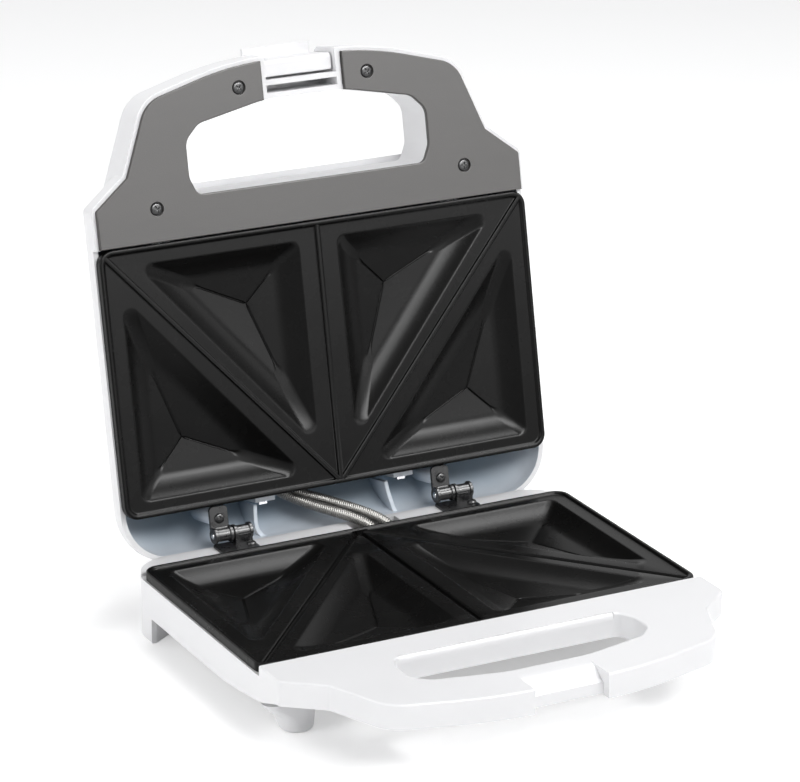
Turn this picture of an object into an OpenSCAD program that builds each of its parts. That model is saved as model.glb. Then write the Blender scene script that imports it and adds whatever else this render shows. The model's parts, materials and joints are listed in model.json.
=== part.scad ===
// Sandwich toaster with two hinged non-stick plates, shown with its lid open.
// Lengths are millimetres. Base sizes are measured from the middle of the lower plate's
// rear edge at rim level; lid sizes from the same point of the upper plate, lid closed,
// with depth counted away from the food.

/* [Plates] */
// Width of each cooking plate
plate_w = 218; // [200:1:240]
// Depth of each cooking plate, front to back
plate_d = 123; // [115:1:140]
// Height of the plate's side band
plate_flange_h = 4.6; // [4:0.1:6]
// Corner radius of the plate
plate_corner_r = 5; // [3:0.5:8]
// Width of the raised bead round the plate
bead_w = 2.6; // [2:0.1:4]
// How far the flat land lies below the bead
land_drop = 1.2; // [0.8:0.1:2]
// Depth of each sandwich pocket below the bead
pocket_depth = 9.5; // [7:0.5:11]
// Thickness of the metal under a pocket
pocket_wall = 2.4; // [2:0.1:3]
// Width of the sealing ribs and of their grooves
rib_w = 2.6; // [2:0.1:4]
// Land between a pocket and the side of the plate
pocket_side_margin = 9.5; // [8:0.5:12]
// Land between a pocket and the rear of the plate
pocket_rear_margin = 7.5; // [7:0.5:10]
// Land between a pocket and the front of the plate
pocket_front_margin = 9; // [8:0.5:12]
// Land between a pocket and the middle of a rib
pocket_rib_margin = 9.5; // [8:0.5:11]
// Gap between the two rims when the lid is shut
closed_gap = 1; // [0.6:0.1:2]

/* [Base] */
// Height of the lower plate's rim above the table
rim_height = 32.5; // [30:0.5:45]
// How far the casing walls stand outside the plate on each side
wall_overhang = 0.8; // [0.3:0.1:1.5]
// Depth of the base casing below the rim
base_depth = 20.5; // [19.5:0.5:24]
// Thickness of the plastic walls
wall = 2.4; // [2:0.1:3]
// Height of the handle deck above the rim of the plate
deck_rise = 0.4; // [0:0.1:0.6]
// Height of the base handle's front edge
handle_edge_h = 11.4; // [9:0.1:14]
// How far the base handle reaches in front of the plate
base_reach = 75.3; // [70:0.5:85]
// How far the base's rear wall lies behind the plate
rear_wall_y = 14.6; // [14:0.1:15]
// Radius of the base's rear corners
base_rear_r = 19.5; // [16:0.5:26]
// Radius of a front foot where it meets the table
foot_r = 7.8; // [6:0.2:9]

/* [Lid] */
// Angle of the open lid from shut
lid_open = 102; // [90:1:103]
// Height of the lid's dome over the plate rim
dome_h = 36; // [33:1:45]
// Height of the lid's handle
lid_handle_h = 26; // [24:1:30]
// How far the lid handle reaches in front of the plate
lid_reach = 77.8; // [72:0.5:86]
// How far the lid's rear edge lies behind the plate
lid_rear_y = 22.6; // [21:0.1:24]
// Radius of the lid's rear corners
lid_rear_r = 24; // [18:1:28]
// Thickness of the dark handle panel, which stands proud of the white edge round it
panel_t = 2; // [1.6:0.1:3]
// Width of the white edge left round the black panel
panel_rim = 1.9; // [1.5:0.1:3]

/* [Finger holes] */
// Half width of the lid's finger hole
lid_hole_x = 61.2; // [55:0.2:62]
// Half width of the base's finger hole
base_hole_x = 58.6; // [52:0.2:60]
// Distance from the plate to the near edge of both finger holes
hole_gap = 19.5; // [18:0.5:24]
// Width of the bar in front of the lid's finger hole
lid_bar_w = 19.5; // [18:0.5:24]
// Width of the bar in front of the base's finger hole
base_bar_w = 22.5; // [20:0.5:26]

/* [Hinges] */
// Distance from the middle to each hinge
hinge_x = 57.5; // [50:0.5:62]
// Width of one hinge
hinge_w = 19; // [16:0.5:22]
// Distance of the hinge axis behind the plate
hinge_y = 13.9; // [13.5:0.1:14.5]
// Height of the hinge axis above the lower rim
hinge_z = 2.54; // [2.4:0.02:2.8]
// Outer radius of the hinge knuckles
knuckle_r = 3.8; // [3.4:0.1:4]
// Radius of the hinge pins
hinge_pin_r = 1.5; // [1.2:0.1:1.8]
// Thickness of the hinge leaves
leaf_t = 1.4; // [1.2:0.1:1.4]

/* [Latch] */
// Width of the latch
latch_w = 34; // [30:1:38]
// Thickness of the latch body
latch_t = 7.7; // [7:0.1:8]
// Distance from the latch pin to the catching face of its lip
latch_grip = 19.2; // [18.9:0.1:20]
// Thickness of the latch's lip
lip_t = 2.2; // [2:0.1:3]
// Height of the latch's lip
lip_h = 4.8; // [4:0.1:5]
// Radius of the latch pin
latch_pin_r = 1; // [0.8:0.1:1.2]
// How far the lower catch is set back from the base handle's front
catch_setback = 4.6; // [4.4:0.1:5]

/* [Heating] */
// Radius of the tubular heating elements
element_r = 3.25; // [3:0.05:3.3]
// Distance from the plate's edge to the middle of the element
element_inset = 6.7; // [6.5:0.1:7]
// Bend radius of the element at the plate's corners
element_bend_r = 10; // [8:1:12]
// Thickness of the heat shields
shield_t = 0.8; // [0.6:0.1:1]
// Radius of the thermostat
thermostat_r = 8; // [6:0.5:8]
// Radius of one conduit sleeve
sleeve_r = 2.5; // [2:0.1:2.6]

/* [Hidden] */

$fn = 48;
// Slack used so that cuts pass through cleanly
cut = 1;
// Clearance between parts that are fitted together
fit = 0.3;
// Running clearance of a pin in its hole
running = 0.05;
// Points on one rounded corner
corner_n = 8;

body_half = plate_w / 2 + wall_overhang;
seat_y = fit;
plate_half = plate_w / 2;
deck_y = -plate_d - fit;
// The latch pin lies where the latch can swing from folded back to hooked on the catch
catch_y = -plate_d - base_reach + catch_setback;
catch_floor_z = -5.5;
catch_slope = 8;
catch_bottom_z = deck_rise - handle_edge_h + 0.7;
latch_pin_setback = 2.2;
latch_heel = 2.6;
latch_y = catch_y - fit - latch_pin_setback;
latch_depth = (catch_bottom_z - fit - closed_gap) + latch_grip;
// Half width of the pocket in the lid handle and of the notch in the base handle
latch_slot = latch_w / 2 + 0.9;
hinge_depth = hinge_z - closed_gap;

// Middle of the bounding box, so that the part's origin is under its middle
front_y = -plate_d - base_reach;
lip_tip_y = latch_y - latch_pin_setback - lip_h - hinge_y;
lip_tip_w = latch_depth + latch_grip + lip_t - hinge_depth;
rear_y = hinge_y + lip_tip_y * cos(lid_open) + lip_tip_w * sin(lid_open);
shift_y = -(front_y + rear_y) / 2;

module in_base() {
    translate([0, shift_y, rim_height]) children();
}

module in_lid() {
    in_base() translate([0, hinge_y, hinge_z]) rotate([-lid_open, 0, 0])
        translate([0, -hinge_y, -hinge_depth]) children();
}

module both_sides() {
    children();
    mirror([1, 0, 0]) children();
}

// ---------- outlines ----------

function unit(v) = v / norm(v);
function inward(a, b) = let (d = unit(b - a)) [-d[1], d[0]];

// A convex outline drawn anticlockwise, with every edge moved inwards
function moved_in(p, d) = [for (i = [0:len(p) - 1])
    let (n = len(p),
        n1 = inward(p[(i + n - 1) % n], p[i]),
        n2 = inward(p[i], p[(i + 1) % n]))
    p[i] + d * (n1 + n2) / (1 + n1 * n2)];

// The outline with each corner rounded to its own radius
function rounded(p, r) = [for (i = [0:len(p) - 1])
    let (n = len(p), a = p[(i + n - 1) % n], c = p[(i + 1) % n], b = p[i],
        u1 = unit(a - b), u2 = unit(c - b), half = acos(u1 * u2) / 2,
        mid = b + unit(u1 + u2) * r[i] / sin(half),
        s = b + u1 * r[i] / tan(half) - mid)
    for (k = [0:corner_n])
        let (t = k / corner_n * (180 - 2 * half))
        mid + [s[0] * cos(t) - s[1] * sin(t), s[0] * sin(t) + s[1] * cos(t)]];

function mirrored(h) = concat(h, [for (i = [len(h) - 1:-1:0]) [-h[i][0], h[i][1]]]);
function twice(r) = concat(r, [for (i = [len(r) - 1:-1:0]) r[i]]);

// Casing outline: rear corner, then front shoulder, then the end of the slanted shoulder.
// It runs anticlockwise from the left rear, seen from above.
shoulder_y = -plate_d - 19;
neck_y = -plate_d - 36;
function casing(half, rear) = [[-half, rear], [-half, shoulder_y], [-half + 21.5, neck_y],
    [half - 21.5, neck_y], [half, shoulder_y], [half, rear]];
function casing_r(rear_r) = [rear_r, 4, 2, 2, 4, rear_r];

// Handle outline, from its root to its front corners
function handle(reach) = let (f = -plate_d - reach)
    [[-96, -plate_d - 12], [-95, -plate_d - 27], [-80, f + 12.5], [-34, f],
    [34, f], [80, f + 12.5], [95, -plate_d - 27], [96, -plate_d - 12]];
handle_r = [2, 6, 17, 150, 150, 17, 6, 2];

// Finger hole outline
function hole(half, near, far) = [[-half + 3.5, near], [-half, near - 8], [-half, far + 14],
    [-half + 7, far + 7], [-20, far], [20, far], [half - 7, far + 7], [half, far + 14],
    [half, near - 8], [half - 3.5, near]];
hole_r = [4, 8, 8, 8, 60, 60, 8, 8, 8, 4];
hole_near = -plate_d - hole_gap;
lid_hole = hole(lid_hole_x, hole_near, -plate_d - lid_reach + lid_bar_w);
base_hole = hole(base_hole_x, hole_near, front_y + base_bar_w);

lid_casing = casing(body_half, lid_rear_y);
base_casing = casing(body_half, rear_wall_y);

// A solid whose outline is drawn in step by step. Each step is [inset, height, corner change].
module drawn(p, r, steps) {
    loops = [for (s = steps) rounded(moved_in(p, s[0]), [for (q = r) max(q + s[2], 1)])];
    m = len(loops[0]);
    k = len(steps);
    pts = [for (j = [0:k - 1]) for (q = loops[j]) [q[0], q[1], steps[j][1]]];
    sides = [for (j = [0:k - 2]) for (i = [0:m - 1])
        let (a = j * m + i, b = j * m + (i + 1) % m)
        each [[a, a + m, b], [b, a + m, b + m]]];
    polyhedron(pts, concat([[for (i = [0:m - 1]) i]],
        [[for (i = [m - 1:-1:0]) (k - 1) * m + i]], sides));
}

// A box between two corners
module block(a, b) {
    translate(a) cube(b - a);
}

// A tube along a list of points, which nowhere runs straight along `side`
module run(p, r, side, sides = 8) {
    n = len(p);
    dirs = [for (i = [0:n - 1]) unit(p[min(i + 1, n - 1)] - p[max(i - 1, 0)])];
    pts = [for (i = [0:n - 1])
        let (u = unit(cross(dirs[i], side)), v = cross(dirs[i], u))
        for (k = [0:sides - 1])
            p[i] + r * (cos(k * 360 / sides) * u + sin(k * 360 / sides) * v)];
    polyhedron(pts, concat([[for (k = [0:sides - 1]) k]],
        [[for (k = [sides - 1:-1:0]) (n - 1) * sides + k]],
        [for (i = [0:n - 2]) for (k = [0:sides - 1])
            let (a = i * sides + k, b = i * sides + (k + 1) % sides)
            each [[a, a + sides, b], [b, a + sides, b + sides]]]));
}

// Points on a smooth curve through four guide points
function curve(a, b, c, d, n = 14) = [for (i = [0:n]) let (t = i / n, s = 1 - t)
    s * s * s * a + 3 * s * s * t * b + 3 * s * t * t * c + t * t * t * d];

// A screw along Z: its head sits on z = 0 and its shank points down
module screw(head_r, head_h, shank_r, length) {
    difference() {
        cylinder(r = head_r, h = head_h);
        for (a = [0, 90])
            rotate([0, 0, a]) translate([-head_r * 0.6, -0.3, head_h * 0.45])
                cube([head_r * 1.2, 0.6, head_h]);
    }
    translate([0, 0, -length]) cylinder(r = shank_r, h = length);
}

// ---------- cooking plates, drawn with depth away from the food ----------

module plate_outline(inset, h) {
    x = plate_half - inset;
    linear_extrude(h) polygon(rounded(
        [[-x, -inset], [-x, -plate_d + inset], [x, -plate_d + inset], [x, -inset]],
        [for (i = [0:3]) max(plate_corner_r - inset, 1)]));
}

// The corners of one rear pocket and one front pocket, left of the middle
diag_len = norm([plate_half, plate_d]);
rib_step_x = pocket_rib_margin * diag_len / plate_d;
rib_step_y = pocket_rib_margin * diag_len / plate_half;
slope = plate_d / plate_half;
pocket_x = -plate_half + pocket_side_margin;
rear_pocket = [[-rib_step_x - pocket_rear_margin / slope, -pocket_rear_margin],
    [pocket_x, -pocket_rear_margin],
    [pocket_x, -pocket_rear_margin + (pocket_x + rib_step_x
        + pocket_rear_margin / slope) * slope]];
pocket_y = -plate_d + pocket_front_margin;
front_pocket = [[-pocket_rib_margin, -rib_step_y - pocket_rib_margin * slope],
    [(pocket_y + rib_step_y) / slope, pocket_y],
    [-pocket_rib_margin, pocket_y]];

// Shape of a pocket's side: share of the way in to the middle, share of the depth there, and
// share of the metal's thickness. It falls steeply from the mouth, where the metal is thinner
// to clear the element, and then slopes gently to the lowest point.
pocket_form = [[0, 0, 0.5], [0.08, 0.18, 0.35], [0.2, 0.54, 0.9], [0.36, 0.76, 1]];

// The point at the same distance from all three edges
function middle_of(t) = let (a = norm(t[1] - t[2]), b = norm(t[2] - t[0]), c = norm(t[0] - t[1]))
    (a * t[0] + b * t[1] + c * t[2]) / (a + b + c);

// A three-sided pocket from its mouth down to its lowest point
module hollow(tri, grow, top, drop) {
    a = tri[1] - tri[0];
    b = tri[2] - tri[0];
    t = a[0] * b[1] > a[1] * b[0] ? tri : [tri[0], tri[2], tri[1]];
    mid = middle_of(t);
    depth = pocket_depth - land_drop;
    steps = concat([[0, top]],
        [for (f = pocket_form) [f[0], land_drop + f[1] * depth + f[2] * drop]]);
    k = len(steps);
    pts = concat([for (s = steps) for (q = t)
        let (w = mid + (q - mid) * grow * (1 - s[0])) [w[0], w[1], s[1]]],
        [[mid[0], mid[1], pocket_depth + drop]]);
    polyhedron(pts, concat([[0, 1, 2]],
        [for (j = [0:k - 2]) for (i = [0:2]) let (u = 3 * j + i, v = 3 * j + (i + 1) % 3)
            each [[u, u + 3, v], [v, u + 3, v + 3]]],
        [for (i = [0:2]) [3 * k - 3 + i, 3 * k, 3 * k - 3 + (i + 1) % 3]]));
}

// The four pockets, or the metal round them when `drop` is its thickness
module pockets(grow, top, drop) {
    both_sides() {
        hollow(rear_pocket, grow, top, drop);
        hollow(front_pocket, grow, top, drop);
    }
}

module rib_lines(w, h) {
    translate([-w / 2, -plate_d + bead_w / 2, 0]) cube([w, plate_d - bead_w, h]);
    both_sides() linear_extrude(h) polygon([[w / 2, -bead_w / 2],
        [-w / 2, -bead_w / 2], [-plate_half + bead_w / 2, -plate_d + bead_w / 2 + w / 2],
        [-plate_half + bead_w / 2 + w, -plate_d + bead_w / 2]]);
}

boss_spots = [[-plate_half / 2, -plate_d / 2], [plate_half / 2, -plate_d / 2],
    [0, -plate_d * 0.76]];
element_depth = plate_flange_h + element_r;
shield_depth = plate_flange_h + 2 * element_r;
well_depth = max(pocket_depth + pocket_wall + 0.7, shield_depth + 0.6);
screw_shank_r = 1.5;

module plate_body(raised_ribs) {
    difference() {
        union() {
            plate_outline(0, plate_flange_h);
            pockets(1.02, land_drop, pocket_wall);
            for (s = boss_spots)
                translate([s[0], s[1], land_drop + pocket_wall])
                    cylinder(r = 3.6, h = well_depth - land_drop - pocket_wall);
        }
        difference() {
            translate([0, 0, -cut]) plate_outline(bead_w, land_drop + cut);
            if (raised_ribs) rib_lines(rib_w, land_drop + cut);
        }
        pockets(1, land_drop - 0.02, 0);
        if (!raised_ribs) translate([0, 0, land_drop - cut]) rib_lines(rib_w, cut + 0.9);
        for (s = boss_spots)
            translate([s[0], s[1], plate_flange_h + 0.6])
                cylinder(r = screw_shank_r, h = well_depth);
    }
}

// Straight lengths run this far into the bends, so that the element stays one piece
element_lap = 0.05;
pin_r = 1.5;
pin_length = 9;
module element() {
    x = plate_half - element_inset;
    y0 = -element_inset;
    y1 = -plate_d + element_inset;
    r = element_bend_r;
    lap = element_lap;
    translate([0, 0, element_depth]) {
        both_sides() {
            translate([-x + r - lap, y0, 0]) rotate([0, 90, 0])
                cylinder(r = element_r, h = x - r - pin_end_x - pin_length + lap);
            translate([-pin_end_x - pin_length - lap, y0, 0]) rotate([0, 90, 0])
                cylinder(r = pin_r, h = pin_length + lap);
            translate([-x, y1 + r - lap, 0]) rotate([-90, 0, 0])
                cylinder(r = element_r, h = y0 - y1 - 2 * r + 2 * lap);
            translate([-x + r, y0 - r, 0]) rotate([0, 0, 90])
                rotate_extrude(angle = 90) translate([r, 0]) circle(r = element_r);
            translate([-x + r, y1 + r, 0]) rotate([0, 0, 180])
                rotate_extrude(angle = 90) translate([r, 0]) circle(r = element_r);
        }
        translate([-x + r - lap, y1, 0]) rotate([0, 90, 0])
            cylinder(r = element_r, h = 2 * (x - r + lap));
    }
}

// Pressed sheet that holds the element against the plate
shield_inset = 2.4;
well_inset = element_inset + element_r + 1.6;
module shield() {
    difference() {
        union() {
            translate([0, 0, shield_depth]) plate_outline(shield_inset, shield_t);
            translate([0, 0, shield_depth])
                plate_outline(well_inset - shield_t, well_depth - shield_depth + shield_t);
        }
        translate([0, 0, shield_depth - cut])
            plate_outline(well_inset, well_depth - shield_depth + cut);
        for (s = boss_spots)
            translate([s[0], s[1], well_depth - cut])
                cylinder(r = screw_shank_r + 0.2, h = 3 * cut);
        block([-14, -element_inset - element_r - 0.5, shield_depth - cut],
            [14, cut, shield_depth + shield_t + cut]);
    }
}

// ---------- base ----------

base_bottom = -base_depth;
floor_top = base_bottom + wall;
ledge_top = -plate_flange_h + 1.6;

// Side view of the base casing: it gets shallower towards the handle
module base_profile(lift, from_y, to_y) {
    h = deck_rise - handle_edge_h + lift;
    rotate([90, 0, 90]) translate([0, 0, -plate_w]) linear_extrude(2 * plate_w)
        intersection() {
            polygon([[from_y + 60, base_bottom + lift], [-plate_d * 0.7, base_bottom + lift],
                [-plate_d * 0.85, base_bottom + 1.7 + lift],
                [-plate_d - 2, base_bottom + 4.4 + lift], [-plate_d - 17, h],
                [front_y - 10, h], [front_y - 10, deck_rise], [from_y + 60, deck_rise]]);
            translate([to_y, base_bottom]) square([from_y - to_y, base_depth + deck_rise]);
        }
}

module base_slab(inset, h_from, h_to) {
    translate([0, 0, h_from]) linear_extrude(h_to - h_from) union() {
        polygon(rounded(moved_in(base_casing, inset),
            [for (q = casing_r(base_rear_r)) max(q - inset, 1)]));
        polygon(rounded(moved_in(handle(base_reach), inset),
            [for (q = handle_r) max(q - inset, 1)]));
    }
}

foot_x = -body_half + 18;
foot_y = -plate_d + 1;
module front_foot() {
    low = -rim_height;
    high = base_bottom + 3.5;
    hull() {
        translate([foot_x, foot_y, low]) cylinder(r = foot_r - 1.6, h = 0.5, $fn = 32);
        translate([foot_x, foot_y, low + 1.6]) cylinder(r = foot_r, h = 0.5, $fn = 32);
        translate([foot_x, foot_y, high]) cylinder(r = foot_r + 0.8, h = 0.5, $fn = 32);
        translate([-body_half + 5.4, foot_y - 3, high]) cylinder(r = 5, h = 0.5, $fn = 32);
    }
}

// Rear leg: the casing's corner carried down to the table, closed by a slanting inner wall
leg_x = -body_half + 16;
leg_front_y = -12;
leg_plan = [[-body_half - 5, rear_wall_y + 5], [-body_half - 5, leg_front_y],
    [-body_half + wall, leg_front_y], [leg_x, leg_front_y + 9.5],
    [leg_x, rear_wall_y + 5]];
module rear_leg() {
    difference() {
        intersection() {
            base_slab(0, -rim_height, floor_top);
            translate([0, 0, -rim_height]) linear_extrude(rim_height) polygon(leg_plan);
        }
        intersection() {
            base_slab(wall, -rim_height - cut, base_bottom);
            translate([0, 0, -rim_height - cut]) linear_extrude(rim_height)
                polygon(moved_in(leg_plan, wall));
        }
    }
}

module catch_cut() {
    // Room for the latch in front of the catch, and the slope down to it
    block([-latch_slot, front_y - cut, base_bottom], [latch_slot, catch_y, cut]);
    rotate([90, 0, 90]) translate([0, 0, -latch_slot]) linear_extrude(2 * latch_slot)
        polygon([[catch_y + catch_slope, deck_rise + cut], [catch_y + catch_slope, deck_rise],
            [catch_y, catch_floor_z], [catch_y - cut, catch_floor_z],
            [catch_y - cut, deck_rise + cut]]);
}

lead_r = 2.6;
gland_x = -36;
gland_r = lead_r + 1;
gland_z = floor_top + gland_r + 0.8;
clamp_z = gland_z + lead_r - 0.1;
base_screw_x = hinge_w / 2 - 2.8;
base_screw_y = 7;
lid_screw_y = 6.4;
conduit_x = 16;
conduit_y = 5.2;
block_x = -7;
// Vents: distance from the middle, length, width, pitch and the rearmost slot's rear edge
vent_x = plate_half * 0.11;
vent_length = plate_half * 0.24;
vent_w = 3;
vent_pitch = plate_d * 0.053;
vent_y = -plate_d * 0.252;

module base_shell() {
    color("white") in_base() difference() {
        union() {
            difference() {
                intersection() {
                    base_slab(0, base_bottom, deck_rise);
                    base_profile(0, rear_wall_y + cut, front_y - cut);
                }
                // Cavity under the plate
                intersection() {
                    base_slab(wall, base_bottom + wall, cut);
                    base_profile(wall, rear_wall_y - wall, deck_y - fit + wall);
                }
                // Hollow underside of the handle
                intersection() {
                    base_slab(wall, base_bottom - cut, deck_rise - wall);
                    block([-body_half, front_y, base_bottom - cut],
                        [body_half, deck_y - 2 * wall, deck_rise - wall]);
                }
                // Seat for the plate, level with the lower edge of its side band
                block([-body_half - cut, deck_y, -plate_flange_h],
                    [body_half + cut, seat_y, cut + deck_rise]);
                block([-body_half - cut, seat_y - cut, ledge_top],
                    [body_half + cut, rear_wall_y + cut, cut + deck_rise]);
            }
            // Rear deck, which carries the hinges
            intersection() {
                base_slab(0, ledge_top - wall, ledge_top);
                block([-body_half, seat_y, base_bottom], [body_half, rear_wall_y, ledge_top]);
            }
            // Wall round the finger hole
            intersection() {
                translate([0, 0, base_bottom]) linear_extrude(base_depth)
                    polygon(rounded(moved_in(base_hole, -wall),
                        [for (q = hole_r) q + wall]));
                base_profile(0, deck_y, front_y);
            }
            block([-latch_slot - wall, catch_y - 1, catch_bottom_z],
                [latch_slot + wall, front_y + base_bar_w - 0.5, 0]);
            both_sides() block([latch_slot, front_y + 0.6, deck_rise - handle_edge_h],
                [latch_slot + wall, catch_y, 0]);
            both_sides() front_foot();
            both_sides() rear_leg();
            for (s = boss_spots)
                translate([s[0], s[1], floor_top - 0.5])
                    cylinder(r = 4.2, h = -well_depth - shield_t - floor_top + 0.5);
            // Hinge screw bosses
            for (s = [-1, 1])
                translate([s * hinge_x + base_screw_x, base_screw_y, floor_top - 0.5])
                    cylinder(r = 3, h = ledge_top - floor_top);
            for (d = [-6.5, 6.5])
                translate([gland_x + d, 4, floor_top - 0.5])
                    cylinder(r = 2.6, h = clamp_z - floor_top + 0.5);
            block([gland_x - 3, 1.6, floor_top - 0.5], [gland_x + 3, 6.4, gland_z - lead_r]);
        }
        translate([0, 0, base_bottom - cut]) linear_extrude(base_depth + 3 * cut)
            polygon(rounded(base_hole, hole_r));
        catch_cut();
        // Lower plate screws, with their heads sunk in the floor
        for (s = boss_spots) {
            translate([s[0], s[1], base_bottom - cut]) cylinder(r = 3.2, h = cut + 1.9);
            translate([s[0], s[1], base_bottom]) cylinder(r = screw_shank_r + 0.2, h = base_depth);
        }
        for (s = [-1, 1])
            translate([s * hinge_x + base_screw_x, base_screw_y, ledge_top - 8])
                cylinder(r = 1.25, h = 10);
        translate([gland_x, rear_wall_y - wall - cut, gland_z]) rotate([-90, 0, 0])
            cylinder(r = gland_r, h = wall + 2 * cut);
        for (d = [-6.5, 6.5])
            translate([gland_x + d, 4, floor_top]) cylinder(r = 1.1, h = 10);
        // Slot where the conduit comes up through the rear deck
        block([conduit_x - 13 - sleeve_r, conduit_y - sleeve_r - 0.9, ledge_top - wall - cut],
            [conduit_x + 7 + sleeve_r, conduit_y + sleeve_r + 4.4, ledge_top + cut]);
        // Vents in the floor
        both_sides() for (i = [0:4])
            block([vent_x, vent_y - i * vent_pitch - vent_w, base_bottom - cut],
                [vent_x + vent_length, vent_y - i * vent_pitch, floor_top + cut]);
    }
}

module lower_plate() {
    color("#1c1c1d") in_base() mirror([0, 0, 1]) plate_body(false);
}

module lower_heating_element() {
    color("#77716a") in_base() mirror([0, 0, 1]) element();
}

module lower_heat_shield() {
    color("#b9bcc0") in_base() mirror([0, 0, 1]) shield();
}

module lower_plate_screws() {
    color("#9a9ca0") in_base() for (s = boss_spots)
        translate([s[0], s[1], base_bottom + 1.9]) mirror([0, 0, 1])
            screw(2.9, 1.7, screw_shank_r, -plate_flange_h - 0.8 - base_bottom - 1.9);
}

fuse_y = -plate_d * 0.32;
fuse_r = 1.9;
module thermal_fuse() {
    color("#d9cfae") in_base()
        translate([-11, fuse_y, -well_depth - shield_t - fuse_r]) rotate([0, 90, 0])
            cylinder(r = fuse_r, h = 22);
}

module fuse_clip() {
    color("#8d9094") in_base() difference() {
        block([-4, fuse_y - fuse_r - 2.6, -well_depth - shield_t - 2 * fuse_r - 0.5],
            [4, fuse_y + fuse_r + 2.6, -well_depth - shield_t]);
        translate([-5, fuse_y, -well_depth - shield_t - fuse_r]) rotate([0, 90, 0])
            cylinder(r = fuse_r + 0.05, h = 10);
        block([-5, fuse_y - fuse_r - 3, -well_depth - shield_t - 5],
            [5, fuse_y - fuse_r - 0.6, -well_depth - shield_t - 0.6]);
        block([-5, fuse_y + fuse_r + 0.6, -well_depth - shield_t - 5],
            [5, fuse_y + fuse_r + 3, -well_depth - shield_t - 0.6]);
    }
}

terminal_h = 8;
module terminal_block() {
    color("#e7e2d2") in_base() difference() {
        block([block_x - 14, 1, floor_top], [block_x + 14, 9.5, floor_top + terminal_h]);
        for (i = [-1:1]) {
            translate([block_x + i * 9, 0, floor_top + 3]) rotate([-90, 0, 0])
                cylinder(r = 1.6, h = 11);
            translate([block_x + i * 9, 5.2, floor_top + 3]) cylinder(r = 1.5, h = 10);
        }
        for (i = [-0.5, 0.5])
            block([block_x + i * 9 - 0.6, 0, floor_top + 5],
                [block_x + i * 9 + 0.6, 10.5, floor_top + terminal_h + cut]);
    }
}

module terminal_screws() {
    color("#c9a65a") in_base() for (i = [-1:1])
        translate([block_x + i * 9, 5.2, floor_top + terminal_h - 1.2]) difference() {
            translate([0, 0, -3.2]) cylinder(r = 1.45, h = 3.6);
            block([-2, -0.3, -0.2], [2, 0.3, 2]);
        }
}

module cord_gland() {
    // Bush with a lip inside and outside the wall; the supply lead passes through it
    color("white") in_base() translate([gland_x, rear_wall_y - wall, gland_z])
        rotate([-90, 0, 0]) difference() {
            union() {
                cylinder(r = gland_r - 0.05, h = wall);
                translate([0, 0, wall]) cylinder(r1 = gland_r + 0.9, r2 = gland_r - 0.3, h = 6);
                translate([0, 0, -1.5]) cylinder(r = gland_r + 0.6, h = 1.5);
            }
            translate([0, 0, -4]) cylinder(r = lead_r, h = 16);
        }
}

module cord_clamp() {
    color("#e7e2d2") in_base() difference() {
        block([gland_x - 9.5, 1.6, clamp_z], [gland_x + 9.5, 6.4, clamp_z + 2.4]);
        for (d = [-6.5, 6.5])
            translate([gland_x + d, 4, floor_top]) cylinder(r = 1.4, h = 10);
    }
}

module cord_clamp_screws() {
    color("#9a9ca0") in_base() for (d = [-6.5, 6.5])
        translate([gland_x + d, 4, clamp_z + 2.4]) screw(2.2, 1.4, 1.1, 7);
}

wire_r = 1;
pin_end_x = 11;
wire_gap = 0.3;
module base_wiring() {
    // Leads from the terminals to the fuse, the element and the conduit
    y = 0.7;
    z = floor_top + 3;
    fuse_z = -well_depth - shield_t - fuse_r;
    up = [0, 0, 1];
    color("#c8402e") in_base() {
        run(curve([block_x - 9, y, z], [block_x - 9, -24, z], [-24, fuse_y, fuse_z],
            [-11.3, fuse_y, fuse_z]), wire_r, up);
        run(concat(curve([11.3, fuse_y, fuse_z], [17, fuse_y, fuse_z], [5.6, -8, fuse_z],
            [2, -5, fuse_z]), [for (q = curve([2, -5, fuse_z], [-1.6, -2, fuse_z],
            [1, -element_inset, -element_depth],
            [pin_end_x - wire_gap, -element_inset, -element_depth])) if (q[0] != 2) q]),
            wire_r, [0.1, 1, 0.3]);
        run(curve([block_x, y, z], [block_x, -5, z], [-3, -element_inset, -element_depth],
            [-pin_end_x + wire_gap, -element_inset, -element_depth]), wire_r, [0.1, 1, 0.3]);
        run(curve([block_x + 9, y, z], [block_x + 9, -7, z], [conduit_x + 4.6, -4, z],
            [conduit_x + 4.6, conduit_y, ledge_top - 5.8]), wire_r, up);
    }
}

module hinge_base_leaf(s) {
    color("#1b1b1c") in_base() translate([s * hinge_x, 0, 0]) difference() {
        union() {
            block([-hinge_w / 2, 2.2, ledge_top], [hinge_w / 2, rear_wall_y - 0.4, ledge_top + leaf_t]);
            translate([0.25, hinge_y, hinge_z]) rotate([0, 90, 0])
                cylinder(r = knuckle_r, h = hinge_w / 2 - 0.25);
            block([0.25, hinge_y - knuckle_r, ledge_top + leaf_t - 0.2],
                [hinge_w / 2, rear_wall_y - 0.4, hinge_z]);
        }
        translate([-hinge_w, hinge_y, hinge_z]) rotate([0, 90, 0])
            cylinder(r = hinge_pin_r, h = 2 * hinge_w);
        translate([base_screw_x, base_screw_y, -10]) cylinder(r = 1.4, h = 20);
        // Room for the lid's knuckle over the plain half of the leaf
        translate([-hinge_w, hinge_y, hinge_z]) rotate([0, 90, 0])
            cylinder(r = knuckle_r + 0.3, h = hinge_w + 0.25);
    }
}

module hinge_base_leaf_left() {
    hinge_base_leaf(-1);
}

module hinge_base_leaf_right() {
    hinge_base_leaf(1);
}

module hinge_pin(s) {
    // Fixed in the base's knuckle; the lid's knuckle turns on it
    color("#a8abb0") in_base() translate([s * hinge_x - hinge_w / 2 - 0.6, hinge_y, hinge_z])
        rotate([0, 90, 0]) cylinder(r = hinge_pin_r, h = hinge_w + 1.2);
}

module hinge_pin_left() {
    hinge_pin(-1);
}

module hinge_pin_right() {
    hinge_pin(1);
}

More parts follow.
